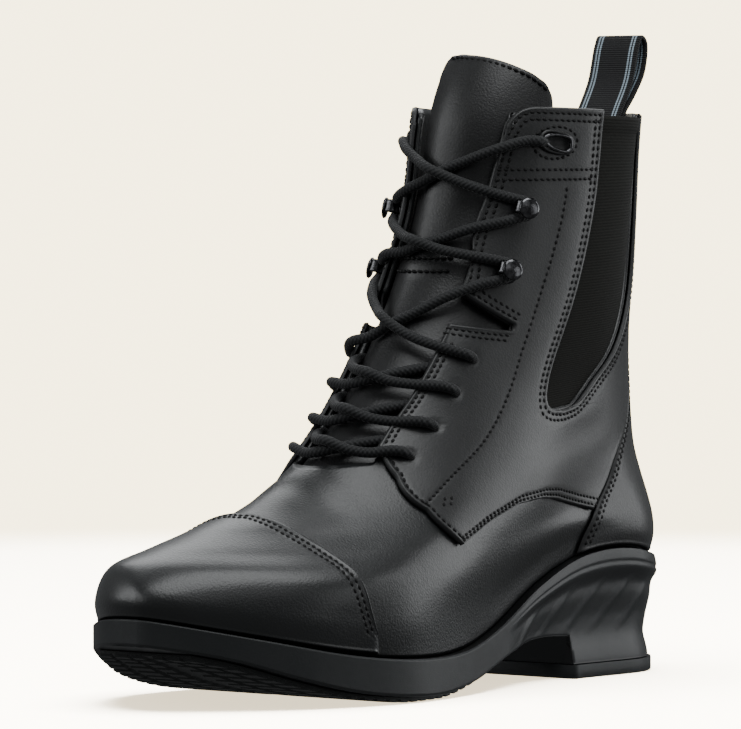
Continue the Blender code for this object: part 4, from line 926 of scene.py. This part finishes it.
def quarter_stitching(way):
    """All sewn rows of one quarter. way turns the outer side's ways round into this side's."""
    rows = []

    def sew(v, w, *insets, side=1, lift=TOP_FACE - GROOVE_DEPTH):
        for inset in insets:
            at_v, at_w = inset_line(v, w, inset, side) if inset else (v, w)
            rows.append(stitch_row(at_v, way(at_v, at_w), lift))

    edge_w = np.linspace(lower_edge["round"][0] + 0.01, POINT_ROUND, 60)
    sew(np.interp(edge_w, lower_edge["round"], lower_edge["ring"]), edge_w, FIRST_ROW, SECOND_ROW, side=-1)
    edge_w = np.linspace(POINT_ROUND, 0.83, 60)
    sew(np.interp(edge_w, lower_edge["round"], lower_edge["ring"]), edge_w, 0.0018, side=-1)
    v = np.linspace(6.10, 7.50, 60)
    sew(v, edge_line(facing, v), 0.0020, 0.0040, side=-1)
    angle = np.linspace(0.95 * math.pi / 2, 0.0, 30)
    corner_w = CORNER_FROM + (0.790 - CORNER_FROM) * np.sin(angle)
    top_w = np.concatenate([corner_w, np.linspace(CORNER_FROM, 0.530, 40)[1:]])
    v = np.linspace(8.12, float(top_ring(corner_w[0])) - 0.03, 60)
    edge_w = np.concatenate([edge_line(facing, v), top_w])
    sew(np.concatenate([v, top_ring(top_w)]), edge_w, 0.0022, 0.0046, side=-1)
    share = np.linspace(0.0, 1.0, 30)
    notch_w = NOTCH_ROUND + (edge_line(facing, NOTCH_RING) - NOTCH_ROUND) * share
    sew(NOTCH_RING - 0.005 + 0.12 * share, notch_w, 0.0020, 0.0040, side=1)
    sew(NOTCH_RING + NOTCH_CUT + 0.005 + 0.41 * share, notch_w, 0.0020, 0.0040, side=-1)
    tip = gore["ring"][0]
    turning = 6.50 - tip
    down_v = np.concatenate([np.linspace(9.95, 6.50, 90), tip + turning * np.linspace(0.95, 0.0, 16) ** 2])
    for inset, last in ((FIRST_ROW, 9.0), (SECOND_ROW, 7.6)):
        up_v = np.concatenate([tip + turning * np.linspace(0.0, 1.0, 16) ** 2, np.linspace(6.55, last, 60)])
        front, rear = edge_line(gore, down_v, "front") + EDGE_GAP, edge_line(gore, up_v, "rear") - EDGE_GAP
        around_w = np.concatenate([front, rear])
        sew(np.concatenate([down_v, up_v]), around_w, inset, side=-1)
    band_w = np.linspace(0.535, 0.800, 40)
    sew(np.full_like(band_w, 9.37), band_w, 0.0)
    sew(np.full_like(band_w, 9.27), band_w, 0.0)
    single = table(("ring", "round"), [
        (4.83, 0.665), (5.35, 0.660), (6.10, 0.635), (6.85, 0.618), (7.43, 0.618), (8.00, 0.615),
        (8.53, 0.608), (8.83, 0.605), (9.20, 0.607)])
    v = np.linspace(4.55, 9.20, 90)
    sew(v, cubic(single["ring"], single["round"], v), 0.0)
    for tack_w in (0.624, 0.634):
        sew(np.linspace(4.38, 4.76, 6), np.full(6, tack_w) + np.linspace(0.0, 0.012, 6), 0.0)
    turn = np.linspace(0, 2 * np.pi, 80)
    ring_v, ring_w = RING_PLACE
    small = 0.01
    per_v = np.linalg.norm(form(ring_v + small, ring_w) - form(ring_v, ring_w)) / small
    per_w = np.linalg.norm(form(ring_v, ring_w + small) - form(ring_v, ring_w)) / small
    sew(ring_v + 0.0057 * np.sin(turn) / per_v, ring_w + 0.0088 * np.cos(turn) / per_w, 0.0)
    return rows


for name, way in SIDES:
    v, w, keep = quarter_grid()
    w = way(v, w)
    if name == "inner":
        v, w, keep = v[:, ::-1], w[:, ::-1], keep[:, ::-1]
    rows = quarter_stitching(way)
    dents = [(ev, float(way(ev, ew)), 0.0030, 0.0009) for ev, ew in EYELETS]
    for step in (-0.020, 0.0, 0.020):
        dents.append((RING_PLACE[0], float(way(RING_PLACE[0], RING_PLACE[1] + step)), 0.0030, 0.0008))
    overlay("quarter_" + name + "_leather", v, w, quarter_leather, "quarter_leather", "quarter_" + name, rows,
            keep, dents)
    sewn("quarter_" + name + "_stitching", rows, "quarter_leather")

# Elastic sides
# Panels of woven elastic webbing, black with an olive cast, ribbed across by their rubber strands, hemmed at
# the top and sewn in behind the quarters.
GORE_THICK = 0.0012
elastic = Finish(
    "elastic_webbing", roughness=0.90, specular_ior_level=0.2, sheen_weight=0.04, sheen_roughness=0.4)
weave = elastic.place.noise(2400.0, 2.0)
rib = elastic.uv.part(1).wave(0.0011)
warp = elastic.uv.part(0).wave(0.0009)
woven = 0.5 + 0.28 * rib + 0.12 * warp + 0.5 * (weave - 0.5)
elastic.set("Base Color", woven.shades((0.0085, 0.0085, 0.0070), (0.0160, 0.0160, 0.0132)))
elastic.bump(0.5 + 0.35 * rib + 0.15 * warp + 0.3 * weave, 0.00012)
GORE_V = np.linspace(gore["ring"][0] - 0.06, 9.97, 96)
for name, way in SIDES:
    rear, front = edge_line(gore, GORE_V, "rear") - 0.010, edge_line(gore, GORE_V, "front") + 0.010
    w = spread([rear, front], (24,), (0.0,))
    v = np.repeat(GORE_V[:, None], w.shape[1], 1)
    w = way(v, w)
    if name == "inner":
        v, w = v[:, ::-1], w[:, ::-1]
    hem = 0.0005 * blend(9.80, 9.82, v)
    face = skin(v, w, hem - 0.0010)
    points, faces, kinds, used = closed_sheet(face, skin(v, w, -0.0005 - GORE_THICK))
    column = v.shape[1] // 2
    middle = face[:, column]
    side_run = np.linalg.norm(face - middle[:, None], axis=-1) * np.sign(np.arange(v.shape[1]) - column)[None]
    up_run = run_along(middle)
    uv = np.stack([side_run, np.repeat(up_run[:, None], v.shape[1], 1)], -1).reshape(-1, 2)
    mesh_piece("gore_" + name + "_elastic", points, faces, [elastic.material], "elastic", ["gore_" + name],
               uv=np.concatenate([uv, uv])[used])

# Tongue
# Soft leather folded over thin foam, sewn under the vamp and standing above the collar, turned slightly to
# the outer side, with a sewn keeper seam half way up and a stitched top edge.
TONGUE_THICK = 0.0018
TONGUE_DEPTH = -WALL - 0.0006
tongue_top = table(("round", "ring"), [
    (0.655, 9.95), (0.665, 10.12), (0.690, 10.33), (0.735, 10.50), (0.815, 10.68), (0.895, 10.80),
    (0.985, 10.87), (1.060, 10.88), (1.100, 10.82), (1.114, 10.70), (1.120, 10.45)])
tongue_sides = table(("ring", "outer", "inner"), [
    (5.55, 0.730, 1.270), (7.00, 0.690, 1.310), (7.60, 0.640, 1.350), (8.10, 0.640, 1.330),
    (8.80, 0.665, 1.230), (9.40, 0.660, 1.140), (9.80, 0.655, 1.120)])
tongue_leather = leather_finish(
    "tongue_leather", (0.0050, 0.0052, 0.0054), (0.0080, 0.0082, 0.0085), 0.38, 0.12, 0.00012)
t = gathered(np.linspace(0, 1, 61), 0.5)
v = np.linspace(5.55, 9.80, 84)
outer_w, inner_w = (cubic(tongue_sides["ring"], tongue_sides[k], v) for k in ("outer", "inner"))
w = outer_w[:, None] + (inner_w - outer_w)[:, None] * t[None]
level = np.repeat(v[:, None], len(t), 1)
top = cubic(tongue_top["round"], tongue_top["ring"], w[-1])
rise = gathered(np.linspace(0, 1, 25)[1:], 0.25)
level = np.concatenate([level, level[-1][None] + (top - level[-1])[None] * rise[:, None]])
w = np.concatenate([w, np.repeat(w[-1][None], len(rise), 0)])
keeper = hump(level, 8.42, 0.10) * hump(w, 0.98, 0.24)
pad = 0.0006 * hump(w, 0.93, 0.20) * blend(9.0, 9.8, level)
plain = skin(level, w, TONGUE_DEPTH)
gap_edge = near(plain, [plain[:, 0], plain[:, -1], plain[-1]])
ease = np.sqrt(1 - (1 - np.clip(gap_edge / 0.0012, 0.0, 1.0)) ** 2)
sewn_w = np.linspace(0.695, 1.080, 84)
sewn_v = cubic(tongue_top["round"], tongue_top["ring"], sewn_w) - 0.075
tongue_rows = [stitch_row(sewn_v, sewn_w, TONGUE_DEPTH - 0.0001)]
sewn_w = np.linspace(0.86, 1.12, 40)
for step in (8.36, 8.50):
    tongue_rows.append(stitch_row(step - 0.05 * np.abs(sewn_w - 0.98), sewn_w, TONGUE_DEPTH + 0.0001))
face = skin(level, w, TONGUE_DEPTH - 0.0009 * (1 - ease) + 0.0008 * keeper + pad - 0.0002)
points, faces, kinds, used = closed_sheet(face, skin(level, w, TONGUE_DEPTH - TONGUE_THICK))
# painted shade: the seam attribute darkens and dulls the tongue towards its eased edges
mesh_piece("tongue_leather", points, faces, [tongue_leather], "tongue_leather", ["tongue"],
           seam=np.concatenate([(1 - ease).ravel(), np.zeros(level.size)])[used])
sewn("tongue_stitching", tongue_rows, "tongue_leather")

# Speed hooks
# Two pairs of gunmetal hooks above the ankle: a riveted foot, a curled neck on the throat side and a round
# domed cap that holds the lace under it.
gunmetal = Finish("gunmetal_plate", metallic=1.0)
tarnish = gunmetal.place.noise(700.0, 3.0)
gunmetal.set("Base Color", tarnish.rise(0.3, 0.7).shades((0.055, 0.055, 0.058), (0.13, 0.13, 0.135)))
gunmetal.set("Roughness", 0.10 + 0.12 * tarnish)
gunmetal.bump(gunmetal.place.noise(1500.0, 2.0), 0.00004)


def frame_at(v, w, offset):
    """Origin on the upper with three axes: up the leg, round towards the front of the ring, and outward."""
    out = outward(v, w)
    up = form(v + 0.05, w) - form(v, w)
    up = unit(up - out * np.dot(up, out))
    side = np.cross(up, out)
    toward = form(v, w + (0.01 if w < 1.0 else -0.01)) - form(v, w)
    return skin(v, w, offset), up, side * np.sign(np.dot(side, toward)), out


def turned(centre, axis, side_a, side_b, profile, sides, start=0.0):
    """A turned shape: a profile of radius and height carried round an axis."""
    turn = start + np.arange(sides) * 2 * math.pi / sides
    ring = side_a[None] * np.cos(turn)[:, None] + side_b[None] * np.sin(turn)[:, None]
    points = centre + profile[:, None, :1] * ring[None] + axis[None, None] * profile[:, None, 1:]
    return points.reshape(-1, 3), tube_faces(len(profile), sides)


def strip(centre, along, normal, width, thick):
    """A flat strip along a path, offset half its thickness to both sides, with a slight belly on top."""
    q = np.linspace(-1, 1, 7)[None, :, None]
    row = centre[:, None] + along[None, None] * (width * q / 2)
    top = row + normal[:, None] * (thick / 2 + (1 - q ** 2) * 0.0001)
    return closed_sheet(top, row - normal[:, None] * thick / 2)[:2]


HOOK_CURL, HOOK_WIDTH, HOOK_THICK = 0.0026, 0.0046, 0.0008
hook_foot = np.array([
    (0.0, 0.0), (0.0034, 0.0), (0.0037, 0.0003), (0.0034, 0.0007), (0.0012, 0.0009), (0.0, 0.0010)])
hook_dome = np.array([
    (0.0, 0.0), (0.0022, 0.0001), (0.0034, 0.0004), (0.0038, 0.0009), (0.0036, 0.0014), (0.0029, 0.0017),
    (0.0016, 0.0019), (0.0, 0.00195)])
turn = np.radians(np.linspace(-90, 90, 15))
route = np.stack([0.0006 + HOOK_CURL * np.cos(turn), HOOK_CURL + HOOK_CURL * np.sin(turn)], -1)
route = np.concatenate([[(-0.0026, 0.0)], route, [(-0.0012, 2 * HOOK_CURL + 0.0001)]])
route_way = unit(np.gradient(route, axis=0))
for k, (hook_v, hook_w) in enumerate(HOOKS):
    for name, way in SIDES:
        here, up, side, out = frame_at(hook_v, way(hook_v, hook_w), TOP_FACE + CLEAR)
        centre = here + side[None] * route[:, :1] + out[None] * (route[:, 1:] + 0.0006)
        normal = -side[None] * route_way[:, 1:] + out[None] * route_way[:, :1]
        head = here - side * 0.0006 + out * (2 * HOOK_CURL - 0.0002)
        points, faces = joined([
            turned(here - side * 0.0012, out, side, up, hook_foot, 20),
            turned(head, out, side, up, hook_dome, 20, 0.16),
            strip(centre, up, normal, HOOK_WIDTH, HOOK_THICK)])
        node = "hook_" + name + "_" + str(k + 1)
        mesh_piece(node + "_metal", points, faces, [gunmetal.material], "gunmetal", [node])

# Lace rings
# A wire ring at the top of each facing, bedded in a punched slot with a raised, sewn rim.


def wire_loop(place, long_half, wide_half, height, wire, taper):
    """Round wire bent to a rounded oval that lies at a height over a place on the upper and narrows by taper
    towards the throat."""
    here, up, side, out = place
    turn = np.arange(60) * 2 * math.pi / 60
    reach, rise = (np.sign(c) * np.abs(c) ** 0.8 for c in (np.cos(turn), np.sin(turn)))
    rise = rise * wide_half * (1 - taper * np.cos(turn))
    path = here + side[None] * (reach * long_half)[:, None] + up[None] * rise[:, None] + out[None] * height
    cross = np.cross(unit(np.roll(path, -1, 0) - np.roll(path, 1, 0)), np.tile(out, (60, 1)))
    round_wire = (np.arange(8) * math.pi / 4)[None, :, None]
    spoke = np.cos(round_wire) * cross[:, None] + np.sin(round_wire) * out[None, None]
    return (path[:, None] + wire * spoke).reshape(-1, 3), tube_faces(60, 8, True)


for name, way in SIDES:
    place = frame_at(RING_PLACE[0], way(*RING_PLACE), TOP_FACE)
    points, faces = wire_loop(place, 0.0056, 0.0026, 0.0012, 0.0007, 0.35)
    node = "lace_ring_" + name
    mesh_piece(node + "_metal", points, faces, [gunmetal.material], "gunmetal", [node])
    points, faces = wire_loop(place, 0.0066, 0.0036, 0.0007, 0.0006, 0.0)
    mesh_piece("ring_slot_" + name + "_rim", points, faces, [quarter_leather], "quarter_leather",
               seam=np.zeros(len(points)))

# Lace
# One round braided polyester cord. It comes out of each punched eyelet, crosses the tongue and passes under
# the opposite facing, then winds round the hooks and ends in the rings at the top.
LACE_RADIUS = 0.0018
LACE_REST = TOP_FACE + LACE_RADIUS + 0.0001
braid = Finish("braided_cord", roughness=0.72, sheen_weight=0.12, sheen_roughness=0.35)
PLAIT, PLAIT_ENDS = 0.0016, 5
run = braid.uv.part(0) / PLAIT
girth = braid.uv.part(1) * PLAIT_ENDS
one_way = (run + girth).wave(1.0)
other_way = (run - girth).wave(1.0)
plait = 0.5 + 0.25 * one_way + 0.25 * other_way
fibre = braid.place.noise(3500.0, 2.0)
yarns = 0.7 * plait + 0.3 * fibre
braid.set("Base Color", yarns.shades((0.0035, 0.0040, 0.0044), (0.0155, 0.0165, 0.0180)))
braid.bump(plait + 0.3 * fibre, 0.00024)


def cord_tube(knots, radius, sides=14, step=0.0012):
    """Round cord on a smooth curve through its knots, with rounded ends. Returns points, faces, and its run
    and girth as a pattern's two numbers."""
    dense = smooth_path(knots, 0.8, 600)
    count = max(int(run_along(dense)[-1] / step), 8)
    path, run = even_path(dense, count)
    way = unit(np.gradient(path, axis=0))
    across = unit(np.cross(way, np.tile((0.05, -0.75, 0.66), (count, 1))))
    other = np.cross(way, across)
    end = np.minimum(run, run[-1] - run)
    size = radius * np.sqrt(1 - (1 - np.clip(end / radius, 0.0, 1.0)) ** 2 * 0.96)
    turn = np.arange(sides + 1) * 2 * math.pi / sides
    spoke = np.cos(turn)[None, :, None] * across[:, None] + np.sin(turn)[None, :, None] * other[:, None]
    points = path[:, None] + size[:, None, None] * spoke
    i, j = np.meshgrid(np.arange(count - 1), np.arange(sides), indexing="ij")
    number = i * (sides + 1) + j
    faces = np.stack([number, number + 1, number + sides + 2, number + sides + 1], -1).reshape(-1, 4).tolist()
    faces.append(list(range(sides))[::-1])
    faces.append([(count - 1) * (sides + 1) + n for n in range(sides)])
    uv = np.stack(np.broadcast_arrays(run[:, None], (turn / (2 * math.pi))[None]), -1)
    return points.reshape(-1, 3), faces, uv.reshape(-1, 2)


WAYS = {1: outer_way, -1: inner_way}
LIFTS = {1: 0.0042, -1: 0.0}
LOW_ON_TONGUE, BESIDE_HOOK = 0.0044, 0.040


def from_eyelet(k, side):
    """Knots where the lace leaves a punched hole and lies up on the facing."""
    eyelet_v, eyelet_w = EYELETS[k]
    places = [(-0.02, -0.006, -0.0010), (0.0, 0.002, 0.0022), (0.02, 0.018, LACE_REST)]
    return [skin(eyelet_v + a, WAYS[side](eyelet_v + a, eyelet_w + b), c) for a, b, c in places]


def over_throat(start, stop, side):
    """Rings, ways round and offsets across the throat from one side's place to the other side's: straight in
    rings and ways round, low on the tongue in the middle, with a hump of its own height where cords cross."""
    v = np.linspace(start[0], stop[0], 7)
    w = np.linspace(float(WAYS[side](*start)), float(WAYS[-side](*stop)), 7)
    low = 1 - blend(0.08, 0.19, np.abs(w - 0.985))
    rise = LIFTS[side] * hump(np.linspace(0.0, 1.0, 7), 0.5, 0.36)
    return v, w, LACE_REST + low * (rise - LOW_ON_TONGUE)


def round_hook(k, side):
    """Knots round the back of a hook, from below it to above it."""
    hook_v, hook_w = HOOKS[k]
    places = [(-0.105, 0.016, 0.0002), (-0.070, -0.006, 0.0004), (0.0, -0.016, 0.0005),
              (0.070, -0.006, 0.0004), (0.105, 0.016, 0.0002)]
    return [skin(hook_v + a, WAYS[side](hook_v + a, hook_w + b), LACE_REST + c) for a, b, c in places]


strands = []
for side in (1, -1):
    for k, under_exit in enumerate((6.30, 6.80, 7.28)):
        out_v = under_exit + 0.04 * side
        edge_w = float(edge_line(facing, out_v))
        start = (EYELETS[k][0] + 0.05, EYELETS[k][1] + 0.035)
        v, w, offset = over_throat(start, (out_v, edge_w + 0.006), side)
        offset[-1] = -0.0012
        offset[-2] = min(offset[-2], 0.0012)
        tail = skin(out_v + 0.03, float(WAYS[-side](out_v, edge_w - 0.020)), -0.0030)
        strands.append(from_eyelet(k, side) + list(skin(v, w, offset)) + [tail])
for first_side in (1, -1):
    knots = from_eyelet(3, first_side)
    side, here = first_side, (EYELETS[3][0] + 0.05, EYELETS[3][1] + 0.035)
    for k, (hook_v, hook_w) in enumerate(HOOKS):
        knots += list(skin(*over_throat(here, (hook_v - 0.13, hook_w + BESIDE_HOOK), side)))
        side = -side
        knots += round_hook(k, side)
        here = (hook_v + 0.13, hook_w + BESIDE_HOOK)
    knots += list(skin(*over_throat(here, (RING_PLACE[0] + 0.01, RING_PLACE[1] + 0.075), side)))
    for a, b, c in ((0.005, 0.045, 0.0040), (0.0, 0.030, 0.0015), (0.0, 0.018, -0.0010)):
        knots.append(skin(RING_PLACE[0] + a, WAYS[-side](RING_PLACE[0] + a, RING_PLACE[1] + b), c))
    strands.append(knots)
points, faces, uvs, total = [], [], [], 0
for knots in strands:
    strand_points, strand_faces, uv = cord_tube(knots, LACE_RADIUS)
    points.append(strand_points)
    uvs.append(uv)
    faces += [[n + total for n in face] for face in strand_faces]
    total += len(strand_points)
lace_nodes = ["lace_crossing_" + str(k + 1) for k in range(6)]
mesh_piece("braided_lace", np.concatenate(points), faces, [braid.material], "cord", lace_nodes,
           uv=np.concatenate(uvs))

# Pull loop
# Black woven webbing with two fine pairs of grey-blue pinstripes, folded double and sewn inside the back of
# the collar.
webbing = Finish("pull_loop_webbing", roughness=0.85, sheen_weight=0.1, sheen_roughness=0.4)
LOOP_WIDTH, LOOP_THICK, LOOP_SINK = 0.0195, 0.0012, 0.0076
across_web = webbing.uv.part(0)
from_edge = (1.0 - across_web.maths("ABSOLUTE")) * (LOOP_WIDTH / 2)
first_line, second_line = (
    (from_edge - place).maths("ABSOLUTE").rise(0.00042, 0.00028) for place in (0.0018, 0.0031))
cross_rib = webbing.uv.part(1).wave(0.0008)
yarn = webbing.place.noise(3000.0, 2.0)
black_web = (0.5 + 0.25 * cross_rib + 0.4 * (yarn - 0.5)).shades((0.006, 0.006, 0.007), (0.016, 0.016, 0.017))
webbing.set("Base Color", (first_line + second_line).shades(black_web, (0.36, 0.45, 0.52)))
webbing.bump(0.5 + 0.4 * cross_rib + 0.3 * yarn, 0.0002)
back = skin(9.6, 0.0, -WALL - LOOP_SINK)
base_level = form(10.0, 0.0)[2] - 0.010
route = np.array([
    (-0.0006, -0.010), (-0.0002, 0.002), (0.0030, 0.0100), (0.0105, 0.023), (0.0145, 0.0360),
    (0.0163, 0.0390), (0.0187, 0.0375), (0.0178, 0.0270), (0.0118, 0.0180), (0.0062, 0.0115),
    (0.0036, 0.0060)])
dense = smooth_path([(0.0, back[1] + step, base_level + rise) for step, rise in route], 0.7, 400)
centre, run = even_path(dense, 110)
across = np.array((1.0, 0.0, 0.0))
normal = np.cross(across, unit(np.gradient(centre, axis=0)))
q = np.linspace(-1, 1, 15)
row = centre[:, None] + across[None, None] * (LOOP_WIDTH * q[None, :, None] / 2)
half_thick = normal[:, None] * LOOP_THICK / 2
points, faces, kinds, used = closed_sheet(row + half_thick, row - half_thick)
uv = np.stack(np.broadcast_arrays(q[None], run[:, None]), -1).reshape(-1, 2)
mesh_piece("pull_loop_webbing", points, faces, [webbing.material], "webbing", ["pull_loop"],
           uv=np.concatenate([uv, uv]))

# Setting
# A round sheet of cream paper under the boot that fades into the backdrop, lit from overhead by a light of
# its own. Large soft boxes stand behind, above and beside the boot, which is seen through a long lens.
PAPER_RADIUS, PAPER_CLEAR, PAPER_FADE = 1.1, 0.74, 0.98
AZIMUTH, PITCH, DISTANCE = math.radians(39.2), math.radians(1.74), 2.22
target = Vector((-0.0219, -0.085, 0.1104))


def toward(azimuth, elevation):
    """Unit vector at an azimuth round the boot, 0 before its toe, and an elevation, both in radians."""
    level = math.cos(elevation)
    return Vector((math.sin(azimuth) * level, -math.cos(azimuth) * level, math.sin(elevation)))


turn = np.arange(64) * math.pi / 32
rim = [(PAPER_RADIUS * math.cos(a) + target.x, PAPER_RADIUS * math.sin(a) + target.y, 0.0) for a in turn]
paper = Finish("cream_paper", roughness=0.9)
east, south = paper.place.part(0) - target.x, paper.place.part(1) - target.y
squared = east * east + south * south
far = squared.maths("SQRT")
paper.set("Base Color", paper.place.noise(6.0, 2.0).shades((0.90, 0.82, 0.68), (0.91, 0.83, 0.69)))
paper.set("Emission Color", paper.place.noise(6.0, 2.0).shades((1.0, 0.84, 0.58), (1.0, 0.845, 0.59)))
paper.set("Alpha", far.rise(PAPER_FADE, PAPER_CLEAR))
paper.shader.inputs["Emission Strength"].default_value = 1.7
mesh = bpy.data.meshes.new("cream_paper")
mesh.from_pydata(rim, [], [list(range(64))])
mesh.materials.append(paper.material)
sheet = bpy.data.objects.new("cream_paper", mesh)
bpy.context.scene.collection.objects.link(sheet)
sheet.visible_diffuse = False
sheet.visible_glossy = False


def soft_box(name, azimuth, elevation, distance, size, power, tint=(0.97, 0.99, 1.0)):
    """A large area light aimed at the boot from an azimuth round it and an elevation."""
    light = bpy.data.lights.new(name, "AREA")
    light.shape = "RECTANGLE"
    light.size, light.size_y = size
    light.energy = power
    light.color = tint
    lamp = bpy.data.objects.new(name, light)
    aim = Vector((0.0, -0.09, 0.11))
    lamp.location = aim + distance * toward(math.radians(azimuth), math.radians(elevation))
    lamp.rotation_euler = (aim - lamp.location).to_track_quat("-Z", "Y").to_euler()
    bpy.context.scene.collection.objects.link(lamp)
    return lamp


soft_box("right_box", 148.0, 13.0, 1.6, (0.9, 1.2), 8.8)
soft_box("back_box", 215.0, 42.0, 1.5, (1.4, 0.9), 9.0)
soft_box("top_box", 72.0, 72.0, 1.5, (1.2, 1.2), 16.0)
soft_box("left_box", -48.0, 25.0, 1.8, (1.0, 1.2), 9.0)
soft_box("front_strip", -14.0, 25.0, 1.7, (0.6, 1.0), 2.6)
soft_box("side_strip", 104.0, 10.0, 1.6, (0.6, 0.8), 1.6)
soft_box("facing_fill", 66.0, 34.0, 1.6, (0.9, 0.7), 1.0)
floor_box = soft_box("floor_box", 0.0, 89.0, 1.5, (1.6, 1.6), 400.0)
paper_only = bpy.data.collections.new("paper_only")
paper_only.objects.link(sheet)
floor_box.light_linking.receiver_collection = paper_only
world = bpy.data.worlds.new("studio")
world.use_nodes = True
world_nodes, world_links = world.node_tree.nodes, world.node_tree.links
room = world_nodes["Background"]
room.inputs["Color"].default_value = (0.95, 0.98, 1.0, 1.0)
room.inputs["Strength"].default_value = 0.14
backdrop = world_nodes.new("ShaderNodeBackground")
backdrop.inputs["Color"].default_value = (1.0, 0.86, 0.55, 1.0)
backdrop.inputs["Strength"].default_value = 5.8
seen = world_nodes.new("ShaderNodeLightPath")
mixed = world_nodes.new("ShaderNodeMixShader")
world_links.new(seen.outputs["Is Camera Ray"], mixed.inputs[0])
world_links.new(room.outputs[0], mixed.inputs[1])
world_links.new(backdrop.outputs[0], mixed.inputs[2])
world_links.new(mixed.outputs[0], world_nodes["World Output"].inputs["Surface"])
bpy.context.scene.world = world

camera_data = bpy.data.cameras.new("camera")
camera_data.sensor_width = 36.0
camera_data.lens = 6369.0 / 741.0 * 36.0
camera = bpy.data.objects.new("camera", camera_data)
camera.location = target + toward(AZIMUTH, PITCH) * DISTANCE
camera.rotation_euler = (target - camera.location).to_track_quat("-Z", "Y").to_euler()
bpy.context.scene.collection.objects.link(camera)
bpy.context.scene.camera = camera
